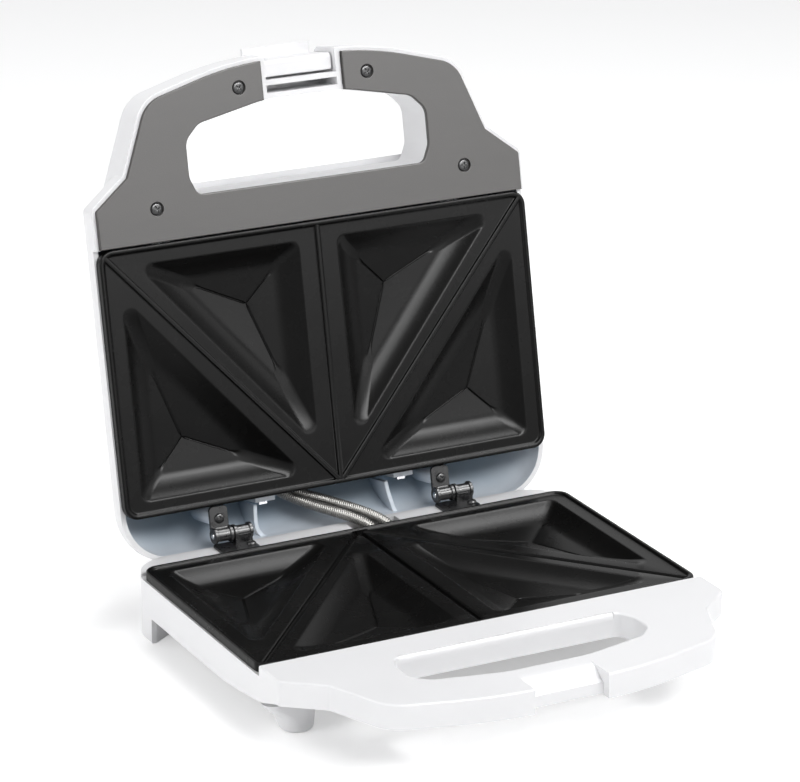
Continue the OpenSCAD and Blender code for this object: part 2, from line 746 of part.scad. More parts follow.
module base_hinge_screws() {
    color("#1b1b1c") in_base() for (s = [-1, 1])
        translate([s * hinge_x + base_screw_x, base_screw_y, ledge_top + leaf_t])
            screw(2.2, 1.4, 1.25, 7.5);
}

module conduit_sleeves() {
    // Two steel sleeves that carry the lid's wires over the hinge line, lid open
    color("#b5b2aa") in_base() {
        run(curve([conduit_x + 4.6, conduit_y, ledge_top - 5], [conduit_x + 6.4, 6.1, -0.5],
            [-0.9, 21.2, 4.7], [-17.5, 30.1, 10.5], 22), sleeve_r, [0, 1, 0], 12);
        run(curve([conduit_x - 3.4, conduit_y, ledge_top - 5], [conduit_x - 8, 5.4, 1.2],
            [-11, 17.1, 0.9], [-25.5, 31.5, 11], 22), sleeve_r, [0, 1, 0], 12);
    }
}

// ---------- lid ----------

// Inset and height of the dome, drawn in as a quarter ellipse
dome_wall_h = 8;
dome_run = 44;
lid_edge = plate_flange_h;
dome_steps = 9;
function dome_shape(off, top) = concat([[off, -cut, -off]],
    [for (i = [0:dome_steps]) let (a = i * 90 / dome_steps, q = dome_run * (1 - cos(a)))
        [off + q * 0.96, dome_wall_h + (top - off - dome_wall_h) * sin(a), -off - q * 0.3]]);

handle_round = 7;
function handle_shape(off, top) = concat([[off, -cut, -off]],
    [for (i = [0:4]) let (a = i * 22.5)
        [off + handle_round * (1 - cos(a)), top - off - handle_round * (1 - sin(a)), -off]]);

module lid_solid(off) {
    drawn(lid_casing, casing_r(lid_rear_r), dome_shape(off, dome_h));
    drawn(handle(lid_reach), handle_r, handle_shape(off, lid_handle_h));
}

// Panel screws: two in the front bar beside the latch and two at the shoulders
panel_spots = [[latch_slot + wall + 12.3, -plate_d - lid_reach + lid_bar_w * 0.656],
    [body_half - 31.2, shoulder_y + 3.4]];
lamp_spots = [-11, 11];
lamp_y = -plate_d + 18;
lens_r = 4;
lens_skin = dome_h - wall;
ear_x = 74;
ear_y = -plate_d - 5.2;
ear_w = 9;
hook_x = 36;
hook_y = 1.2;
shield_ear_depth = shield_depth;
// Lamp bracket: depth, distance to its screws, half length, half width and thickness
bracket_depth = lens_skin - 13;
bracket_x = 24;
bracket_half = bracket_x + 4;
bracket_side = 4.5;
bracket_t = 2;

module lid_boss(x, y, r, from_depth) {
    translate([x, y, from_depth]) cylinder(r = r, h = dome_h);
}

lid_front = -plate_d - lid_reach;
pocket_back = latch_y + 6.6;
module lid_shell() {
    color("white") in_lid() difference() {
        union() {
            difference() {
                lid_solid(0);
                lid_solid(wall);
            }
            intersection() {
                lid_solid(0);
                union() {
                    // Wall round the finger hole
                    linear_extrude(dome_h) polygon(rounded(moved_in(lid_hole, -wall),
                        [for (q = hole_r) q + wall]));
                    // Walls of the latch pocket
                    block([-latch_slot - wall, lid_front - cut, 0],
                        [latch_slot + wall, lid_front + lid_bar_w, lid_handle_h - wall + 0.1]);
                    both_sides() for (s = panel_spots) lid_boss(s[0], s[1], 3.6, panel_t);
                    for (s = [-1, 1])
                        lid_boss(s * hinge_x - hinge_w / 4, lid_screw_y, 4, hinge_depth + 2.9);
                    both_sides() lid_boss(ear_x, ear_y, 3.2, shield_ear_depth + shield_t);
                    both_sides() lid_boss(bracket_x, lamp_y, 3, bracket_depth + bracket_t);
                    // Hooks that hold the rear of the upper plate's shield
                    both_sides() block([hook_x - 5, hook_y, shield_depth - 2.5],
                        [hook_x + 5, hook_y + wall, dome_h]);
                }
            }
        }
        // Open side of the lid: level with the plate's band, and higher beside the panel
        block([-plate_w, lid_front - 10, -3 * cut], [plate_w, 60, panel_t]);
        block([-plate_w, -plate_d - fit, -3 * cut], [plate_w, 60, lid_edge]);
        translate([0, 0, -cut]) linear_extrude(dome_h + 10) polygon(rounded(lid_hole, hole_r));
        // Latch pocket, open to the front and to the top of the handle
        block([-latch_slot, lid_front - 10, -cut], [latch_slot, pocket_back, dome_h + 10]);
        // Hollow between the latch pocket and the finger hole
        block([-latch_slot, pocket_back + wall, -cut],
            [latch_slot, lid_front + lid_bar_w - wall, lid_handle_h - wall - 4]);
        translate([-latch_slot - 2, latch_y, latch_depth]) rotate([0, 90, 0])
            cylinder(r = latch_pin_r, h = 2 * latch_slot + 4);
        both_sides() for (s = panel_spots)
            translate([s[0], s[1], 0]) cylinder(r = 1.25, h = 14);
        for (s = [-1, 1])
            translate([s * hinge_x - hinge_w / 4, lid_screw_y, 0]) cylinder(r = 1.25, h = 14);
        both_sides() translate([ear_x, ear_y, 0]) cylinder(r = 1.25, h = 20);
        both_sides() translate([bracket_x, lamp_y, 0])
            cylinder(r = 1.1, h = bracket_depth + 8);
        for (x = lamp_spots) translate([x, lamp_y, lens_skin / 3])
            cylinder(r = lens_r + 0.1, h = dome_h);
        both_sides() block([hook_x - 2.2, hook_y - cut, shield_depth - 0.2],
            [hook_x + 2.2, hook_y + wall + cut, shield_depth + shield_t + 0.2]);
    }
}

module panel_slab(inset, from, to) {
    translate([0, 0, from]) linear_extrude(to - from) difference() {
        union() {
            polygon(rounded(moved_in(lid_casing, inset),
                [for (q = casing_r(lid_rear_r)) max(q - inset, 1)]));
            polygon(rounded(moved_in(handle(lid_reach), inset),
                [for (q = handle_r) max(q - inset, 1)]));
        }
        polygon(rounded(lid_hole, hole_r));
        translate([-plate_w, -plate_d - 0.6]) square([2 * plate_w, 2 * plate_d]);
        translate([-latch_slot - wall - fit, lid_front - cut])
            square([2 * (latch_slot + wall + fit), 2 * lid_bar_w]);
    }
}

module handle_panel() {
    color("#55534f") in_lid() difference() {
        panel_slab(panel_rim, 0, panel_t);
        both_sides() for (s = panel_spots) translate([s[0], s[1], -cut]) {
            cylinder(r = 3.2, h = cut + 1.2);
            cylinder(r = 1.5, h = 10);
        }
    }
}

module handle_panel_screws() {
    color("#1b1b1c") in_lid() both_sides() for (s = panel_spots)
        translate([s[0], s[1], 1.2]) mirror([0, 0, 1]) screw(2.9, 1.0, 1.25, 9);
}

module upper_plate() {
    color("#1c1c1d") in_lid() plate_body(true);
}

module upper_heating_element() {
    color("#77716a") in_lid() element();
}

module upper_heat_shield() {
    color("#b9bcc0") in_lid() difference() {
        union() {
            shield();
            both_sides() block([hook_x - 2, -shield_inset - 2, shield_depth],
                [hook_x + 2, hook_y + 4, shield_depth + shield_t]);
            both_sides() block([ear_x - ear_w / 2, ear_y - 4, shield_depth],
                [ear_x + ear_w / 2, -plate_d + shield_inset + 2, shield_depth + shield_t]);
        }
        both_sides() translate([ear_x, ear_y, 0]) cylinder(r = 1.5, h = 30);
        translate([0, -plate_d * 0.42, 0]) cylinder(r = thermostat_r + 0.6, h = 30);
    }
}

module upper_plate_screws() {
    color("#9a9ca0") in_lid() for (s = boss_spots)
        translate([s[0], s[1], well_depth + shield_t])
            screw(2.9, 1.7, screw_shank_r, well_depth + shield_t - plate_flange_h - 0.8);
}

module shield_screws() {
    color("#9a9ca0") in_lid() both_sides() translate([ear_x, ear_y, shield_depth])
        mirror([0, 0, 1]) screw(2.6, 1.5, 1.25, 7);
}

module thermostat() {
    color("#a39a86") in_lid() translate([0, -plate_d * 0.42, plate_flange_h]) {
        cylinder(r = thermostat_r, h = 5);
        translate([0, 0, 5]) cylinder(r = thermostat_r - 1.2, h = 7);
        for (x = [-4, 4]) block([x - 0.4, -3, 12], [x + 0.4, 3, 19]);
    }
}

module lens() {
    // Flange under the skin and a domed end that shows
    translate([0, lamp_y, lens_skin - 1.2]) cylinder(r = lens_r + 1.4, h = 1.2);
    translate([0, lamp_y, lens_skin - 1.2]) cylinder(r = lens_r, h = wall + 1.9);
}

module power_lamp_lens() {
    color("#c3281f") in_lid() translate([lamp_spots[0], 0, 0]) lens();
}

module ready_lamp_lens() {
    color("#2f9a45") in_lid() translate([lamp_spots[1], 0, 0]) lens();
}

module neon_lamps() {
    color("#e8b48a") in_lid() for (x = lamp_spots)
        translate([x, lamp_y, bracket_depth + bracket_t]) {
            cylinder(r = 2.2, h = 6.6);
            translate([0, 0, 6.6]) sphere(r = 2.2);
        }
}

module lamp_bracket() {
    color("#d8d8d4") in_lid() difference() {
        block([-bracket_half, lamp_y - bracket_side, bracket_depth],
            [bracket_half, lamp_y + bracket_side, bracket_depth + bracket_t]);
        both_sides() translate([bracket_x, lamp_y, bracket_depth - cut])
            cylinder(r = 1.4, h = bracket_t + 3 * cut);
    }
}

module lamp_bracket_screws() {
    color("#9a9ca0") in_lid() both_sides() translate([bracket_x, lamp_y, bracket_depth])
        mirror([0, 0, 1]) screw(2.2, 1.4, 1.1, bracket_t + 4);
}

module lid_wiring() {
    // Leads from the thermostat and the lamps to the open ends of the conduit
    color("#c8402e") in_lid() {
        run(curve([-4, -plate_d * 0.42 + 3.3, 22], [-4, -20, 27], [-14, -6, 25],
            [-18.3, 2, 16.6]), wire_r, [1, 0, 0]);
        run(curve([lamp_spots[0], lamp_y + bracket_side + 0.3, bracket_depth + 1],
            [-14, -plate_half * 0.55, lens_skin - 3.6], [-28, -20, lens_skin - 3.6],
            [-26.3, 1.3, 17.9]), wire_r, [1, 0, 0]);
    }
}

module hinge_lid_leaf(s) {
    w = hinge_w / 2 - 0.25;
    color("#1b1b1c") in_lid() translate([s * hinge_x - hinge_w / 2, 0, 0]) difference() {
        union() {
            block([0, 0.7, hinge_depth + 1.5], [w, hinge_y, hinge_depth + 1.5 + leaf_t]);
            translate([0, hinge_y, hinge_depth]) rotate([0, 90, 0])
                cylinder(r = knuckle_r, h = w);
        }
        translate([-cut, hinge_y, hinge_depth]) rotate([0, 90, 0])
            cylinder(r = hinge_pin_r + running, h = hinge_w);
        translate([hinge_w / 4, lid_screw_y, 0]) cylinder(r = 1.4, h = 10);
    }
}

module hinge_lid_leaf_left() {
    hinge_lid_leaf(-1);
}

module hinge_lid_leaf_right() {
    hinge_lid_leaf(1);
}

module lid_hinge_screws() {
    color("#1b1b1c") in_lid() for (s = [-1, 1])
        translate([s * hinge_x - hinge_w / 4, lid_screw_y, hinge_depth + 1.5])
            mirror([0, 0, 1]) screw(2.4, 1.2, 1.25, 9);
}

module latch_pin() {
    color("#a8abb0") in_lid() translate([-latch_slot - 2, latch_y, latch_depth])
        rotate([0, 90, 0]) cylinder(r = latch_pin_r, h = 2 * latch_slot + 4);
}

// Latch, drawn about its pin and folded back along the front of the lid handle
module latch() {
    color("white") in_lid() translate([0, latch_y, latch_depth]) difference() {
        union() {
            rotate([90, 0, 90]) translate([0, 0, -latch_w / 2]) linear_extrude(latch_w)
                polygon(rounded([[-latch_pin_setback, -latch_heel],
                    [latch_t - latch_pin_setback, -latch_heel],
                    [latch_t - latch_pin_setback, latch_grip + lip_t],
                    [-latch_pin_setback, latch_grip + lip_t]], [2, 0.6, 2.5, 0.3]));
            block([-latch_w / 2, -latch_pin_setback - lip_h, latch_grip],
                [latch_w / 2, 0, latch_grip + lip_t]);
        }
        // Hollow of the latch body
        block([-latch_w / 2 + 2.2, -latch_pin_setback + 2.2 + 2.4, 2.6],
            [latch_w / 2 - 2.2, latch_t - latch_pin_setback + cut, latch_grip - 1]);
        translate([-latch_w, 0, 0]) rotate([0, 90, 0])
            cylinder(r = latch_pin_r + running, h = 2 * latch_w);
    }
}

base_shell();
lower_plate();
lower_heating_element();
lower_heat_shield();
lower_plate_screws();
thermal_fuse();
fuse_clip();
terminal_block();
terminal_screws();
cord_gland();
cord_clamp();
cord_clamp_screws();
base_wiring();
hinge_base_leaf_left();
hinge_base_leaf_right();
hinge_pin_left();
hinge_pin_right();
base_hinge_screws();
conduit_sleeves();
lid_shell();
handle_panel();
handle_panel_screws();
upper_plate();
upper_heating_element();
upper_heat_shield();
upper_plate_screws();
shield_screws();
thermostat();
power_lamp_lens();
ready_lamp_lens();
neon_lamps();
lamp_bracket();
lamp_bracket_screws();
lid_wiring();
hinge_lid_leaf_left();
hinge_lid_leaf_right();
lid_hinge_screws();
latch_pin();
latch();
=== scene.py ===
import json
import math
import bmesh
import bpy
import numpy as np
from mathutils import Matrix, Vector
from mathutils.geometry import delaunay_2d_cdt


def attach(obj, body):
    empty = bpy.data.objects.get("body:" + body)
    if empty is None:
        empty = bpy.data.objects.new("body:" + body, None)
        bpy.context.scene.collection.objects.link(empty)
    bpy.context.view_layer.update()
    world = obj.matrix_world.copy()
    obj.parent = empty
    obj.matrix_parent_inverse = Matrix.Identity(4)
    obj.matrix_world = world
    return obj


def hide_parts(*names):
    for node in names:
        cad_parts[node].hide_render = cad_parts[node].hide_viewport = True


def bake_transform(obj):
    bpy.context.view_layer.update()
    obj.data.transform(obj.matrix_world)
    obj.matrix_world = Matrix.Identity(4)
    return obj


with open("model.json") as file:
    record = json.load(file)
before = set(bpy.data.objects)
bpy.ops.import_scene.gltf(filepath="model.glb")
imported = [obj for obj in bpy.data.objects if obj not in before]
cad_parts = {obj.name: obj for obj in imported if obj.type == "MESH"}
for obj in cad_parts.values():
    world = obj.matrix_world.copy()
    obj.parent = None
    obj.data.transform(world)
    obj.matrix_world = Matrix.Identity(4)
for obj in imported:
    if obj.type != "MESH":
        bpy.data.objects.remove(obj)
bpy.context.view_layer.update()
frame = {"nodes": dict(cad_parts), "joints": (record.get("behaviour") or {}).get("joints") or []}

# ---------------- frame
# Base sizes are in mm from the middle of the lower plate's rear edge at rim level.
# Lid sizes are in mm from the same point of the upper plate, with the lid shut.
MM = 0.001
OPEN = math.radians(102)
HINGE_Y, HINGE_Z, GAP = 13.9, 2.54, 1.0
HINGE_D = HINGE_Z - GAP
joints = {j["name"]: j for j in frame["joints"]}
hinge_at = Vector(joints["lid_hinge"]["pos_m"])
ORIGIN = hinge_at - Vector((0, HINGE_Y, HINGE_Z)) * MM
IN_BASE = Matrix.Translation(ORIGIN) @ Matrix.Scale(MM, 4)
IN_LID = (IN_BASE @ Matrix.Translation((0, HINGE_Y, HINGE_Z)) @ Matrix.Rotation(-OPEN, 4, "X")
          @ Matrix.Translation((0, -HINGE_Y, -HINGE_D)))

PLATE_W, PLATE_D, FLANGE = 218.0, 123.0, 4.6
HALF = PLATE_W / 2
BODY = HALF + 0.8
WALL = 2.4
BASE_REACH = 75.3
FRONT = -PLATE_D - BASE_REACH
REAR = 14.6
DECK = 0.4
LID_REAR = 22.6
LID_REACH = 77.8
LID_FRONT = -PLATE_D - LID_REACH
DOME, LID_HANDLE = 36.0, 26.0
PANEL_T = 2.0
HOLE_NEAR = -PLATE_D - 19.5
LATCH_Y, LATCH_D = -196.2, 7.6
LATCH_SLOT = 17.9
CATCH_Y = FRONT + 4.6
RIM_H = ORIGIN.z / MM
LID_CORNER, BASE_CORNER = 24, 19.5
HOLE_BORDER = 19.5
SEAT = -PLATE_D - 0.3
SHOULDER = -PLATE_D - 19
LAMP_Y = -PLATE_D + 18
HINGE_X, HOOK_X = 57.5, 36
SIDES = (-1, 1)

# Where screws go, the radius that their threads cut, and which way their shanks point
PANEL_SPOTS = [(s * (LATCH_SLOT + WALL + 12.3), LID_FRONT + HOLE_BORDER * 0.656) for s in SIDES]
PANEL_SPOTS += [(s * (BODY - 31.2), SHOULDER + 3.4) for s in SIDES]
BASE_HINGE_SPOTS = [(s * HINGE_X + 6.7, 7) for s in SIDES]
LID_HINGE_SPOTS = [(s * HINGE_X - 4.75, 6.4) for s in SIDES]
SHIELD_SPOTS = [(s * 74, -PLATE_D - 5.2) for s in SIDES]
BRACKET_SPOTS = [(s * 24, LAMP_Y) for s in SIDES]
THREAD_R = 1.25
UP, DOWN = (0, 0, 1), (0, 0, -1)

# Cutters reach this far to each side and this far behind the plates
WIDE, BEHIND = 300, 60

# ---------------- outlines


def unit(v):
    return v / np.linalg.norm(v)


def moved_in(p, d):
    p = np.array(p, float)
    out = []
    for i in range(len(p)):
        e1, e2 = unit(p[i] - p[i - 1]), unit(p[(i + 1) % len(p)] - p[i])
        n1, n2 = np.array([-e1[1], e1[0]]), np.array([-e2[1], e2[0]])
        out.append(p[i] + d * (n1 + n2) / (1 + n1 @ n2))
    return np.array(out)


def rounded(p, r, n=12):
    p = np.array(p, float)
    out = []
    for i in range(len(p)):
        b = p[i]
        u1, u2 = unit(p[i - 1] - b), unit(p[(i + 1) % len(p)] - b)
        half = math.acos(max(-1, min(1, u1 @ u2))) / 2
        mid = b + unit(u1 + u2) * r[i] / math.sin(half)
        s = b + u1 * r[i] / math.tan(half) - mid
        side = 1 if u1[0] * u2[1] - u1[1] * u2[0] < 0 else -1
        for k in range(n + 1):
            t = side * k / n * (math.pi - 2 * half)
            out.append(mid + [s[0] * math.cos(t) - s[1] * math.sin(t),
                              s[0] * math.sin(t) + s[1] * math.cos(t)])
    return np.array(out)


def casing(half, rear):
    neck = -PLATE_D - 36
    return [[-half, rear], [-half, SHOULDER], [-half + 21.5, neck],
            [half - 21.5, neck], [half, SHOULDER], [half, rear]]


def casing_r(rear_r):
    return [rear_r, 4, 2, 2, 4, rear_r]


def handle(reach):
    f = -PLATE_D - reach
    return [[-96, -PLATE_D - 12], [-95, -PLATE_D - 27], [-80, f + 12.5], [-34, f],
            [34, f], [80, f + 12.5], [95, -PLATE_D - 27], [96, -PLATE_D - 12]]


HANDLE_R = [2, 6, 17, 150, 150, 17, 6, 2]


def hole(half, near, far):
    return [[-half + 3.5, near], [-half, near - 8], [-half, far + 14], [-half + 7, far + 7],
            [-20, far], [20, far], [half - 7, far + 7], [half, far + 14],
            [half, near - 8], [half - 3.5, near]]


HOLE_R = [4, 8, 8, 8, 60, 60, 8, 8, 8, 4]
LID_HOLE = hole(61.2, HOLE_NEAR, LID_FRONT + HOLE_BORDER)
BASE_HOLE = hole(58.6, HOLE_NEAR, FRONT + 22.5)

# ---------------- mesh building


def new_object(name, data):
    ob = bpy.data.objects.new(name, data)
    bpy.context.scene.collection.objects.link(ob)
    return ob


def mesh_object(name, verts, faces, place=IN_BASE):
    me = bpy.data.meshes.new(name)
    me.from_pydata([tuple(map(float, v)) for v in verts], [], [list(map(int, f)) for f in faces])
    me.update()
    me.transform(place)
    return new_object(name, me)


def loft(rings, close=True):
    """Verts and faces through rings of equal length; `close` caps both ends."""
    n, k = len(rings[0]), len(rings)
    verts = np.concatenate(rings)
    faces = [[j * n + i, j * n + (i + 1) % n, (j + 1) * n + (i + 1) % n, (j + 1) * n + i]
             for j in range(k - 1) for i in range(n)]
    if close:
        faces += [list(range(n - 1, -1, -1)), list(range((k - 1) * n, k * n))]
    return verts, faces


def quarter(n):
    """Points (1 - sin, 1 - cos) of a quarter turn in n steps, from (1, 0) to (0, 1)."""
    angles = [math.pi / 2 * i / (n - 1) for i in range(n)]
    return [(1 - math.sin(a), 1 - math.cos(a)) for a in angles]


def at_z(ring, z):
    return np.column_stack([ring, np.full(len(ring), float(z))])


def lofted(name, rings, place=IN_BASE):
    return tidy_normals(mesh_object(name, *loft(rings), place))


def block(outline, radii, steps, place=IN_BASE, n=14):
    """A solid through the outline at each (inset, z, change of corner radius) step."""
    return lofted("block", [at_z(rounded(moved_in(outline, a), [max(q + c, 1) for q in radii], n), z)
                            for a, z, c in steps], place)


def tidy_normals(ob):
    bm = bmesh.new()
    bm.from_mesh(ob.data)
    bmesh.ops.remove_doubles(bm, verts=bm.verts, dist=2e-6)
    bmesh.ops.recalc_face_normals(bm, faces=bm.faces)
    bm.to_mesh(ob.data)
    bm.free()
    return ob


def apply_modifiers(ob):
    dg = bpy.context.evaluated_depsgraph_get()
    me = bpy.data.meshes.new_from_object(ob.evaluated_get(dg))
    ob.modifiers.clear()
    old = ob.data
    ob.data = me
    bpy.data.meshes.remove(old)
    return ob


def combine(ob, others, how="DIFFERENCE"):
    for other in others:
        m = ob.modifiers.new("b", "BOOLEAN")
        m.operation = how
        m.solver = "MANIFOLD"
        m.object = other
        apply_modifiers(ob)
        bpy.data.objects.remove(other, do_unlink=True)
    return ob


def box(a, b, place=IN_BASE, bevel=0, segments=3):
    a, b = np.minimum(a, b), np.maximum(a, b)
    v = [[(a, b)[i][0], (a, b)[j][1], (a, b)[k][2]] for i in (0, 1) for j in (0, 1) for k in (0, 1)]
    f = [[0, 1, 3, 2], [4, 6, 7, 5], [0, 4, 5, 1], [2, 3, 7, 6], [0, 2, 6, 4], [1, 5, 7, 3]]
    ob = mesh_object("box", v, f, place)
    return bevelled(ob, bevel, segments) if bevel else ob


def bevelled(ob, width, segments=3, angle=30):
    m = ob.modifiers.new("v", "BEVEL")
    m.width = width * MM
    m.segments = segments
    m.limit_method = "ANGLE"
    m.angle_limit = math.radians(angle)
    m.use_clamp_overlap = True
    return apply_modifiers(ob)


def prism(name, points, axis, lo, hi, place=IN_BASE):
    """A polygon pushed along X, Y or Z. For X the points are (y, z), for Y they are (x, z)."""
    def put(q, h):
        return {"X": (h, q[0], q[1]), "Y": (q[0], h, q[1]), "Z": (q[0], q[1], h)}[axis]
    n = len(points)
    v = [put(q, lo) for q in points] + [put(q, hi) for q in points]
    f = [list(range(n)), list(range(2 * n - 1, n - 1, -1))]
    f += [[i, i + n, (i + 1) % n + n, (i + 1) % n] for i in range(n)]
    return tidy_normals(mesh_object(name, v, f, place))


def turned(name, profile, at, axis="Z", n=48, place=IN_BASE):
    """A profile of (radius, height) turned round an axis through `at`; ends on the axis close it."""
    rings = []
    for r, h in profile:
        ring = []
        for k in range(n):
            t = 2 * math.pi * k / n
            c, s = r * math.cos(t), r * math.sin(t)
            ring.append({"Z": (c, s, h), "X": (h, c, s), "Y": (s, h, c)}[axis])
        rings.append(np.array(ring) + np.array(at))
    return lofted(name, rings, place)


def bore(r, x0, x1, y, z, n=40, place=IN_BASE):
    """A round cutter along X."""
    return turned("bore", [(r, x0), (r, x1)], (0, y, z), "X", n, place)


def directions(path):
    d = np.gradient(path, axis=0)
    return d / np.linalg.norm(d, axis=1)[:, None]


def sweep(name, path, r, n):
    """A round bar along a path."""
    path = np.array(path, float)
    d = directions(path)
    u = unit(np.cross(d[0], [0.3, 0.9, 0.31]))
    rings = []
    for i in range(len(path)):
        u = unit(u - d[i] * (u @ d[i]))
        w = np.cross(d[i], u)
        t = np.arange(n) * 2 * math.pi / n
        rings.append(path[i] + r * (np.outer(np.cos(t), u) + np.outer(np.sin(t), w)))
    return mesh_object(name, *loft(rings))


def join(name, parts):
    bm = bmesh.new()
    for p in parts:
        bm.from_mesh(p.data)
    me = bpy.data.meshes.new(name)
    bm.to_mesh(me)
    bm.free()
    for p in parts:
        bpy.data.objects.remove(p, do_unlink=True)
    return new_object(name, me)


def dress(ob, mat, body, replaces=(), angle=35, weighted=True):
    """Shades a piece, gives it its material and sets what it stands for."""
    me = ob.data
    me.materials.clear()
    me.materials.append(mat)
    me.polygons.foreach_set("material_index", [0] * len(me.polygons))
    me.shade_smooth()
    me.set_sharp_from_angle(angle=math.radians(angle))
    if weighted:
        m = ob.modifiers.new("n", "WEIGHTED_NORMAL")
        m.keep_sharp = True
        m.mode = "FACE_AREA"
        m.weight = 80
    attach(ob, body)
    if replaces:
        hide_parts(*replaces)
    return ob

# ---------------- materials


def put_node(nt, kind, **sets):
    """A new node with these input values; an underscore stands for a space in an input's name."""
    node = nt.nodes.new(kind)
    for name, value in sets.items():
        node.inputs[name.replace("_", " ")].default_value = value
    return node


def put_ramp(nt, lo, hi):
    ramp = nt.nodes.new("ShaderNodeValToRGB")
    ramp.color_ramp.elements[0].color = (*lo, 1)
    ramp.color_ramp.elements[1].color = (*hi, 1)
    return ramp


def material(name, base, rough, metal=0.0, vary=0.05, rough_vary=0.05, scale=60.0, bump=0.05,
             bump_scale=900.0, coat=0.0, spots=0.0, streak=None, bump_dist=0.0002, specular=0.5):
    """Colour and roughness vary with a broad noise, the bump follows a fine one."""
    m = bpy.data.materials.new(name)
    m.use_nodes = True
    nt = m.node_tree
    link = nt.links.new
    bsdf = nt.nodes["Principled BSDF"]
    bsdf.inputs["Metallic"].default_value = metal
    bsdf.inputs["Specular IOR Level"].default_value = specular
    if coat:
        bsdf.inputs["Coat Weight"].default_value = coat
        bsdf.inputs["Coat Roughness"].default_value = 0.12
    place = nt.nodes.new("ShaderNodeTexCoord").outputs["Object"]
    where = place
    if streak:
        stretch = put_node(nt, "ShaderNodeMapping", Scale=streak)
        link(place, stretch.inputs["Vector"])
        where = stretch.outputs["Vector"]
    big = put_node(nt, "ShaderNodeTexNoise", Scale=scale, Detail=4.0, Roughness=0.6)
    link(where, big.inputs["Vector"])
    fine = put_node(nt, "ShaderNodeTexNoise", Scale=bump_scale, Detail=3.0, Roughness=0.55)
    link(place, fine.inputs["Vector"])
    # The noise keeps near its middle, so its range from `low` to `high` is used
    low, high = 0.3, 0.7
    ramp = put_ramp(nt, [max(0.0, c * (1 - vary)) for c in base],
                    [min(1.0, c * (1 + vary)) for c in base])
    ramp.color_ramp.elements[0].position = low
    ramp.color_ramp.elements[1].position = high
    link(big.outputs["Fac"], ramp.inputs["Fac"])
    colour = ramp.outputs["Color"]
    if spots:
        cells = put_node(nt, "ShaderNodeTexVoronoi", Scale=bump_scale * 1.3)
        link(place, cells.inputs["Vector"])
        light = put_node(nt, "ShaderNodeMapRange", From_Min=0.0, From_Max=0.35,
                         To_Min=1 + spots, To_Max=1.0)
        link(cells.outputs["Distance"], light.inputs["Value"])
        spotted = nt.nodes.new("ShaderNodeVectorMath")
        spotted.operation = "SCALE"
        link(colour, spotted.inputs[0])
        link(light.outputs["Result"], spotted.inputs["Scale"])
        colour = spotted.outputs["Vector"]
    link(colour, bsdf.inputs["Base Color"])
    uneven = put_node(nt, "ShaderNodeMapRange", From_Min=low, From_Max=high,
                      To_Min=max(0.02, rough - rough_vary), To_Max=min(1.0, rough + rough_vary))
    link(big.outputs["Fac"], uneven.inputs["Value"])
    link(uneven.outputs["Result"], bsdf.inputs["Roughness"])
    grain = put_node(nt, "ShaderNodeBump", Strength=bump, Distance=bump_dist)
    link(fine.outputs["Fac"], grain.inputs["Height"])
    link(grain.outputs["Normal"], bsdf.inputs["Normal"])
    return m


white = material("white_gloss_plastic", (0.80, 0.80, 0.81), 0.34, vary=0.006, rough_vary=0.03,
                 scale=35, bump=0.06, bump_scale=700, specular=0.32)
# The lid's inside is the white plastic made darker and bluer: painted shade.
inner_white_painted_shade = material("white_inner_plastic_painted_shade", (0.575, 0.6, 0.63), 0.4, vary=0.03, rough_vary=0.06,
                       scale=35, bump=0.08, bump_scale=700)
coated = material("non_stick_coating", (0.0036, 0.0035, 0.0034), 0.27, vary=0.16,
                  rough_vary=0.015, scale=55, bump=0.04, bump_scale=1500, spots=0.15,
                  bump_dist=0.0001, specular=0.1)
panel_mat = material("panel_plastic", (0.042, 0.039, 0.037), 0.42, vary=0.12, rough_vary=0.08,
                     scale=28, bump=0.16, bump_scale=1400, streak=(0.35, 1.0, 1.6))
black_steel = material("black_steel", (0.012, 0.012, 0.013), 0.3, vary=0.25, rough_vary=0.08,
                       scale=160, bump=0.15)
bright = material("zinc_steel", (0.56, 0.57, 0.59), 0.3, metal=1, vary=0.1, rough_vary=0.08,
                  scale=200, bump=0.1)
spring = material("conduit_steel", (0.24, 0.235, 0.225), 0.42, metal=1, vary=0.12,
                  rough_vary=0.06, scale=120, bump=0.06)
sheet = material("shield_sheet", (0.62, 0.63, 0.65), 0.36, metal=1, vary=0.08, rough_vary=0.1,
                 scale=25, bump=0.1, streak=(0.2, 1, 1))
sheath = material("element_sheath", (0.16, 0.145, 0.13), 0.5, metal=0.6, vary=0.3,
                  rough_vary=0.1, scale=45, bump=0.2)
cream = material("cream_insulator", (0.70, 0.67, 0.58), 0.5, bump=0.1)
brass = material("brass", (0.66, 0.48, 0.2), 0.3, metal=1, vary=0.1, scale=200, bump=0.1)
sleeve_red = material("wire_sleeve", (0.42, 0.06, 0.045), 0.55, vary=0.1, scale=90, bump=0.1)
red_lens = material("red_lens", (0.55, 0.02, 0.015), 0.12, vary=0.1, scale=150, bump=0.02,
                    coat=0.6)
green_lens = material("green_lens", (0.02, 0.34, 0.07), 0.12, vary=0.1, scale=150, bump=0.02,
                      coat=0.6)
glass = material("lamp_glass", (0.85, 0.6, 0.4), 0.1, bump=0.02)
glass.node_tree.nodes["Principled BSDF"].inputs["Transmission Weight"].default_value = 0.6


